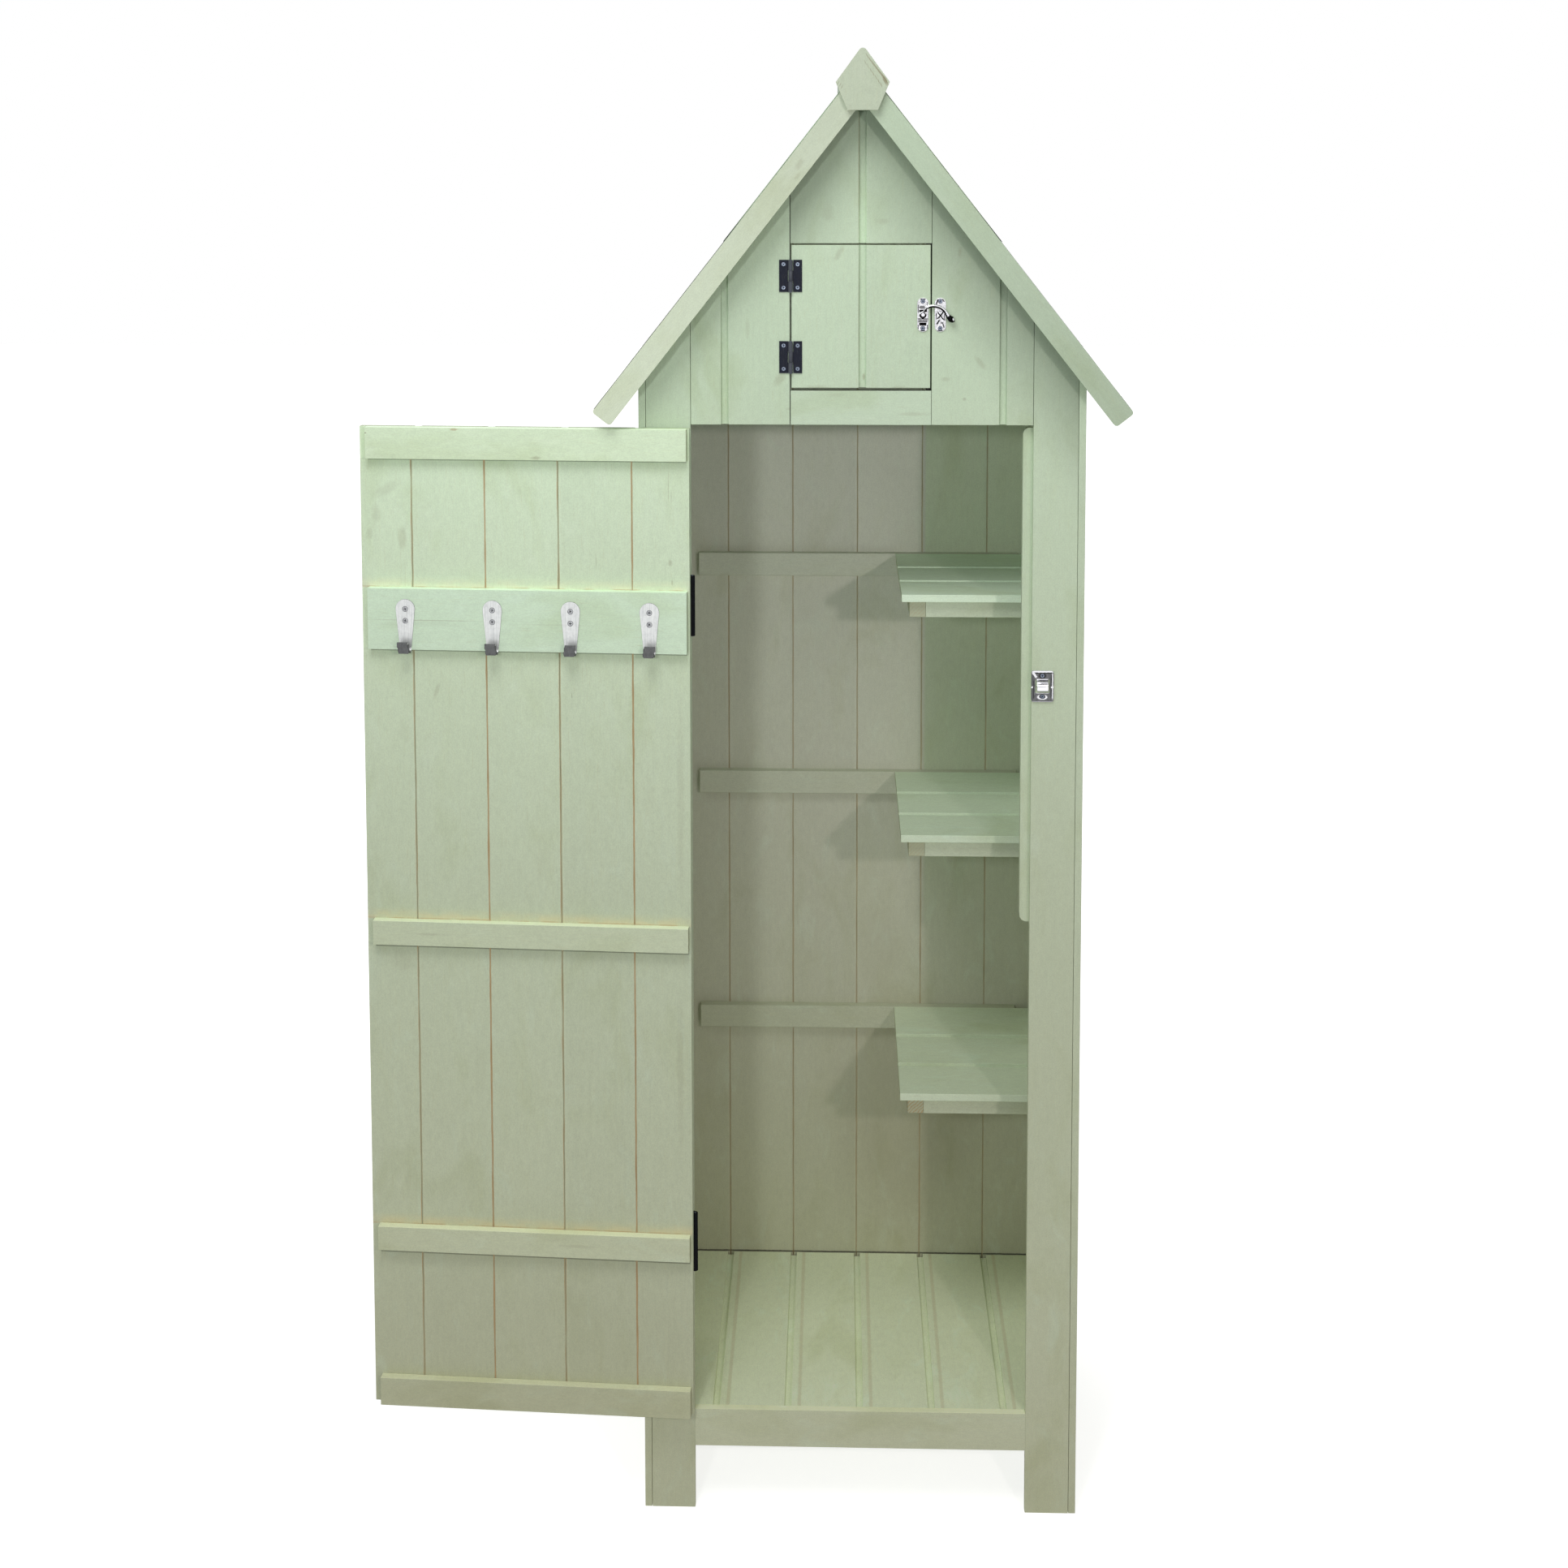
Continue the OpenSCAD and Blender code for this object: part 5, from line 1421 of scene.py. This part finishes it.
@dataclass
class RoofCover:
    """The felt on both slopes, with its lap and its clout nails; the sizes are in millimetres."""

    effects: Effects
    half_span: float = 316.0
    front: float = -16.0
    back: float = 376.0
    start: float = 1.5
    lap_s: float = 262.0
    nail_r: float = 3.4
    nail_in: float = 34.0
    nail_step: float = 54.0
    on_lap: float = 2.0
    on_sheet: float = 1.48

    @property
    def length(self) -> float:
        """Gives the length of a slope from the ridge to the eave."""
        return self.half_span / math.cos(PITCH)

    @staticmethod
    def place(side: Side) -> Matrix:
        """Gives the matrix from sheet metres (x down the slope, y back, z out) to the frame."""
        down = Vector((side.value * math.cos(PITCH), 0, -math.sin(PITCH)))
        out = Vector((side.value * math.sin(PITCH), 0, math.cos(PITCH)))
        matrix = Matrix((down, Vector((0, 1, 0)), out)).transposed().to_4x4()
        matrix.translation = from_drawing(0, 0, RIDGE_Z_MM)
        return matrix

    def grid(self, cuts: tuple[int, int], start: float, end: float, inset: float) -> bpy.types.Object:
        """Models a flat grid of felt.

        Args:
            cuts: Its cells down the slope and to the back.
            start: How far from the ridge it starts.
            end: How far from the ridge it ends.
            inset: How far it stays from the front and back edges.

        Returns:
            The grid, in sheet metres.
        """
        bpy.ops.object.select_all(action="DESELECT")
        bpy.ops.mesh.primitive_grid_add(x_subdivisions=cuts[0], y_subdivisions=cuts[1], size=1, enter_editmode=True)
        mode("ALL")
        width = self.back - self.front - 2 * inset
        bpy.ops.transform.resize(value=((end - start) / 1000, width / 1000, 1))
        bpy.ops.transform.translate(value=((end + start) / 2000, (self.front + self.back) / 2000, 0))
        mode("NONE")
        bpy.ops.mesh.select_mode(type="VERT")
        mode("OBJECT")
        return bpy.context.object

    @staticmethod
    def fray(piece: bpy.types.Object, moves: Callable[[Vector], bool], offset: float, seed: int) -> None:
        """Makes a flat sheet uneven.

        Args:
            piece: The sheet.
            moves: Tells the points that move.
            offset: How far they move at most, in metres.
            seed: The number that the moves come from.
        """
        pick(piece.data.vertices, lambda vertex: moves(vertex.co))
        bpy.ops.transform.vertex_random(offset=offset, seed=seed)
        mode("OBJECT")
        for vertex in piece.data.vertices:
            vertex.co.z = 0.0

    def fix(self, piece: bpy.types.Object, side: Side, over: float, kind: str, words: str) -> None:
        """Lays a finished sheet on the slope.

        Args:
            piece: The sheet, in sheet metres.
            side: The slope.
            over: How far it is lifted off the boards, in metres.
            kind: The piece's name without its side.
            words: The material's name without its side.
        """
        piece.data.transform(self.place(side) @ Matrix.Translation((0, 0, over)))
        outward()
        felt = MineralFelt(f"{words} {side.word}", side.turn).build()
        finish_piece(piece, f"{kind}_{side.word}", "cabin", felt)

    def sheet(self, side: Side) -> None:
        """Models one slope's felt: a rippled sheet with ragged edges that stands for the CAD sheet."""
        end, inset = self.length - 0.8, 0.6
        piece = self.grid((72, 60), self.start, end, inset)

        def on_edge(co: Vector) -> bool:
            """Tells the points of the eave, the front edge and the back edge."""
            y = co.y * 1000
            return (abs(co.x - end / 1000) < 1e-5
                    or min(abs(y - self.front - inset), abs(y - self.back + inset)) < 1e-3)

        self.fray(piece, on_edge, 0.0007, 5 + side.value)
        for vertex in piece.data.vertices:
            vertex.co.x = min(vertex.co.x, end / 1000 + 0.0004)
            vertex.co.y = min(max(vertex.co.y, (self.front + 0.1) / 1000), (self.back - 0.1) / 1000)
        ripple = piece.modifiers.new("Ripple", "DISPLACE")
        ripple.texture = bpy.data.textures.new("felt ripple", "CLOUDS")
        ripple.texture.noise_scale = 0.07
        ripple.texture_coords = "LOCAL"
        ripple.strength, ripple.mid_level = 0.0004, 1.0
        alone(piece)
        bpy.ops.object.modifier_apply(modifier=ripple.name)
        solidify(piece, 0.0008)
        low = min(vertex.co.z for vertex in piece.data.vertices)
        self.fix(piece, side, 0.00006 - low, "felt_sheet", "mineral felt")
        word = side.word
        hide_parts(f"roof_felt_{word}")

    def lap(self, side: Side) -> None:
        """Models the upper course of felt, a hand-cut uneven sheet that laps over the lower one."""
        piece = self.grid((30, 90), 3.0, self.lap_s, 0.8)
        self.fray(piece, lambda co: True, 0.0012, 11 + side.value)
        solidify(piece, 0.0005)
        self.fix(piece, side, 0.0013, "felt_lap", "mineral felt lap")

    def nails(self, side: Side) -> None:
        """Models one flat clout nail and drives copies of it along the felt's edges and its lap."""
        bpy.ops.object.select_all(action="DESELECT")
        bpy.ops.mesh.primitive_cylinder_add(vertices=20, radius=self.nail_r / 1000, depth=0.0004)
        nail = bpy.context.object
        mode("NONE")
        mode("OBJECT")
        pick(nail.data.polygons, lambda face: face.normal.z > 0.9)
        bpy.ops.mesh.select_mode(type="FACE")
        bpy.ops.mesh.inset(thickness=0.0009, depth=0.0)
        bpy.ops.transform.translate(value=(0, 0, 0.0001))
        mode("OBJECT")
        row = [self.front + self.nail_in + self.nail_step * k for k in range(7)]
        spots = [(self.lap_s - 12, y, self.on_lap) for y in row]
        spots += [(self.length - 11, y, self.on_sheet) for y in row]
        for y in (self.front + self.nail_in, self.back - self.nail_in):
            spots += [(s, y, self.on_lap if s < self.lap_s else self.on_sheet) for s in (62, 122, 182, 302, 372, 442)]
        copies = []
        for s, y, out in spots:
            copies.append(copy_of(nail))
            spot = Matrix.Translation((s / 1000, y / 1000, out / 1000))
            copies[-1].data.transform(self.place(side) @ spot)
        bpy.data.objects.remove(nail)
        piece = join(copies)
        outward()
        smooth(35)
        zinc = Metal(self.effects, f"zinc clout nails {side.word}", (140, 144, 148), (96, 100, 104), 1.0, 0.38, 0.2,
                     0.7, 0.1)
        finish_piece(piece, f"clout_nails_{side.word}", "cabin", zinc.build())

    def build(self) -> None:
        """Builds the felt on both slopes."""
        for side in Side:
            self.sheet(side)
            self.lap(side)
            self.nails(side)


@dataclass
class Studio:
    """The floor, the lamps, the surroundings and the camera."""

    image: int = 1932
    sensor: float = 36.0
    centre_y: float = 376.0
    focal_px: float = 2404.5
    eye: Point = (-29.4, -2295.0, 1660.5)
    pitch: float = 4.22
    yaw: float = 1.558
    roll: float = -0.06
    ambient: float = 0.30
    floor_glow: float = 0.72

    def camera(self) -> None:
        """Sets up the camera at the photograph's place."""
        data = bpy.data.cameras.new("Camera")
        data.sensor_width = self.sensor
        data.lens = self.focal_px / self.image * self.sensor
        data.shift_y = (self.centre_y - self.image / 2) / self.image
        data.clip_start, data.clip_end = 0.05, 60.0
        eye = bpy.data.objects.new("Camera", data)
        bpy.context.scene.collection.objects.link(eye)
        matrix = Matrix.Translation(from_drawing(*self.eye))
        for angle, axis in ((self.yaw, "Z"), (90 - self.pitch, "X"), (self.roll, "Z")):
            matrix = matrix @ Matrix.Rotation(math.radians(angle), 4, axis)
        eye.matrix_world = matrix
        bpy.context.scene.camera = eye

    def lamp(self, name: str, place: Point, aim: Point, size: float, power: float, colour: Point) -> None:
        """Adds one soft lamp.

        Args:
            name: The lamp's name.
            place: Where it stands, in drawing millimetres.
            aim: The point that it faces.
            size: Its width in metres.
            power: Its power in watts.
            colour: Its colour.
        """
        data = bpy.data.lights.new(name, "AREA")
        data.shape, data.size, data.energy, data.color = "DISK", size, power, colour
        lamp = bpy.data.objects.new(name, data)
        bpy.context.scene.collection.objects.link(lamp)
        start, end = from_drawing(*place), from_drawing(*aim)
        lamp.matrix_world = Matrix.Translation(start) @ (end - start).to_track_quat("-Z", "Y").to_matrix().to_4x4()

    @staticmethod
    def seen(g: Graph) -> Value:
        """Tells the rays that see the background directly, in gloss or through glass."""
        path = g.add("LightPath").outputs
        rays = [Value(g, path[f"Is {kind} Ray"]) for kind in ("Camera", "Glossy", "Transmission")]
        return g.most(rays[0], g.most(rays[1], rays[2]))

    def world(self) -> None:
        """Makes the even white surroundings."""
        world = bpy.data.worlds.new("White studio")
        bpy.context.scene.world = world
        world.use_nodes = True
        world.node_tree.nodes.clear()
        g = Graph(world.node_tree)
        plain = g.get("Background", {0: (0.97, 1.0, 0.97, 1.0), 1: self.ambient})
        white = g.get("Background", {0: (1.0, 1.0, 1.0, 1.0), 1: 1.0})
        g.add("OutputWorld", {0: g.get("MixShader", {0: self.seen(g), 1: plain, 2: white})})

    def floor(self) -> None:
        """Lays the pale floor, which looks white but keeps the shed's shadow."""
        bpy.ops.object.select_all(action="DESELECT")
        bpy.ops.mesh.primitive_grid_add(x_subdivisions=2, y_subdivisions=2, size=30, location=(0, 0, -0.0002))
        ground = bpy.context.object
        ground.name = "studio_floor"
        material = bpy.data.materials.new("pale studio floor")
        material.use_nodes = True
        material.node_tree.nodes.clear()
        g = Graph(material.node_tree)
        paper = g.get("BsdfDiffuse", {0: (0.80, 0.80, 0.80, 1.0)})
        far = g.get("VectorMath", {0: g.get("TexCoord", {}, "Object")}, "Value", operation="LENGTH")
        level = self.seen(g) * g.fade(far, 0.55, 1.5, self.floor_glow, 1.0)
        glow = g.get("Emission", {0: (1.0, 1.0, 1.0, 1.0), 1: level})
        g.add("OutputMaterial", {0: g.get("AddShader", {0: paper, 1: glow})})
        ground.data.materials.append(material)

    def build(self) -> None:
        """Sets the whole stage."""
        self.camera()
        self.world()
        self.floor()
        self.lamp("Right lamp", (893, -2250, 1700), (60, 0, 900), 0.10, 8.6, (1.0, 0.90, 0.88))
        self.lamp("Left lamp", (-620, -2350, 1720), (-100, 0, 900), 0.20, 9.2, (0.97, 1.02, 0.97))
        self.lamp("High soft lamp", (-400, -1000, 2700), (-100, 0, 1000), 0.9, 12.5, (0.98, 1.0, 0.97))
        self.lamp("Rear soft lamp", (-900, 2700, 2300), (-100, 360, 900), 1.6, 13.0, (1.0, 1.0, 0.98))
        bpy.context.scene.view_settings.view_transform = "Standard"
        LOG.info("stage: floor, four lamps, surroundings, camera")


def main() -> None:
    """Builds every part of the scene in order."""
    logging.basicConfig(level=logging.INFO, format="%(message)s")
    effects = Effects()
    Studio().build()
    Joinery(effects).dress()
    Fittings(effects).dress()
    HatchArm(effects).build()
    HookTips(effects).build()
    RoofCover(effects).build()


if __name__ == "__main__":
    main()
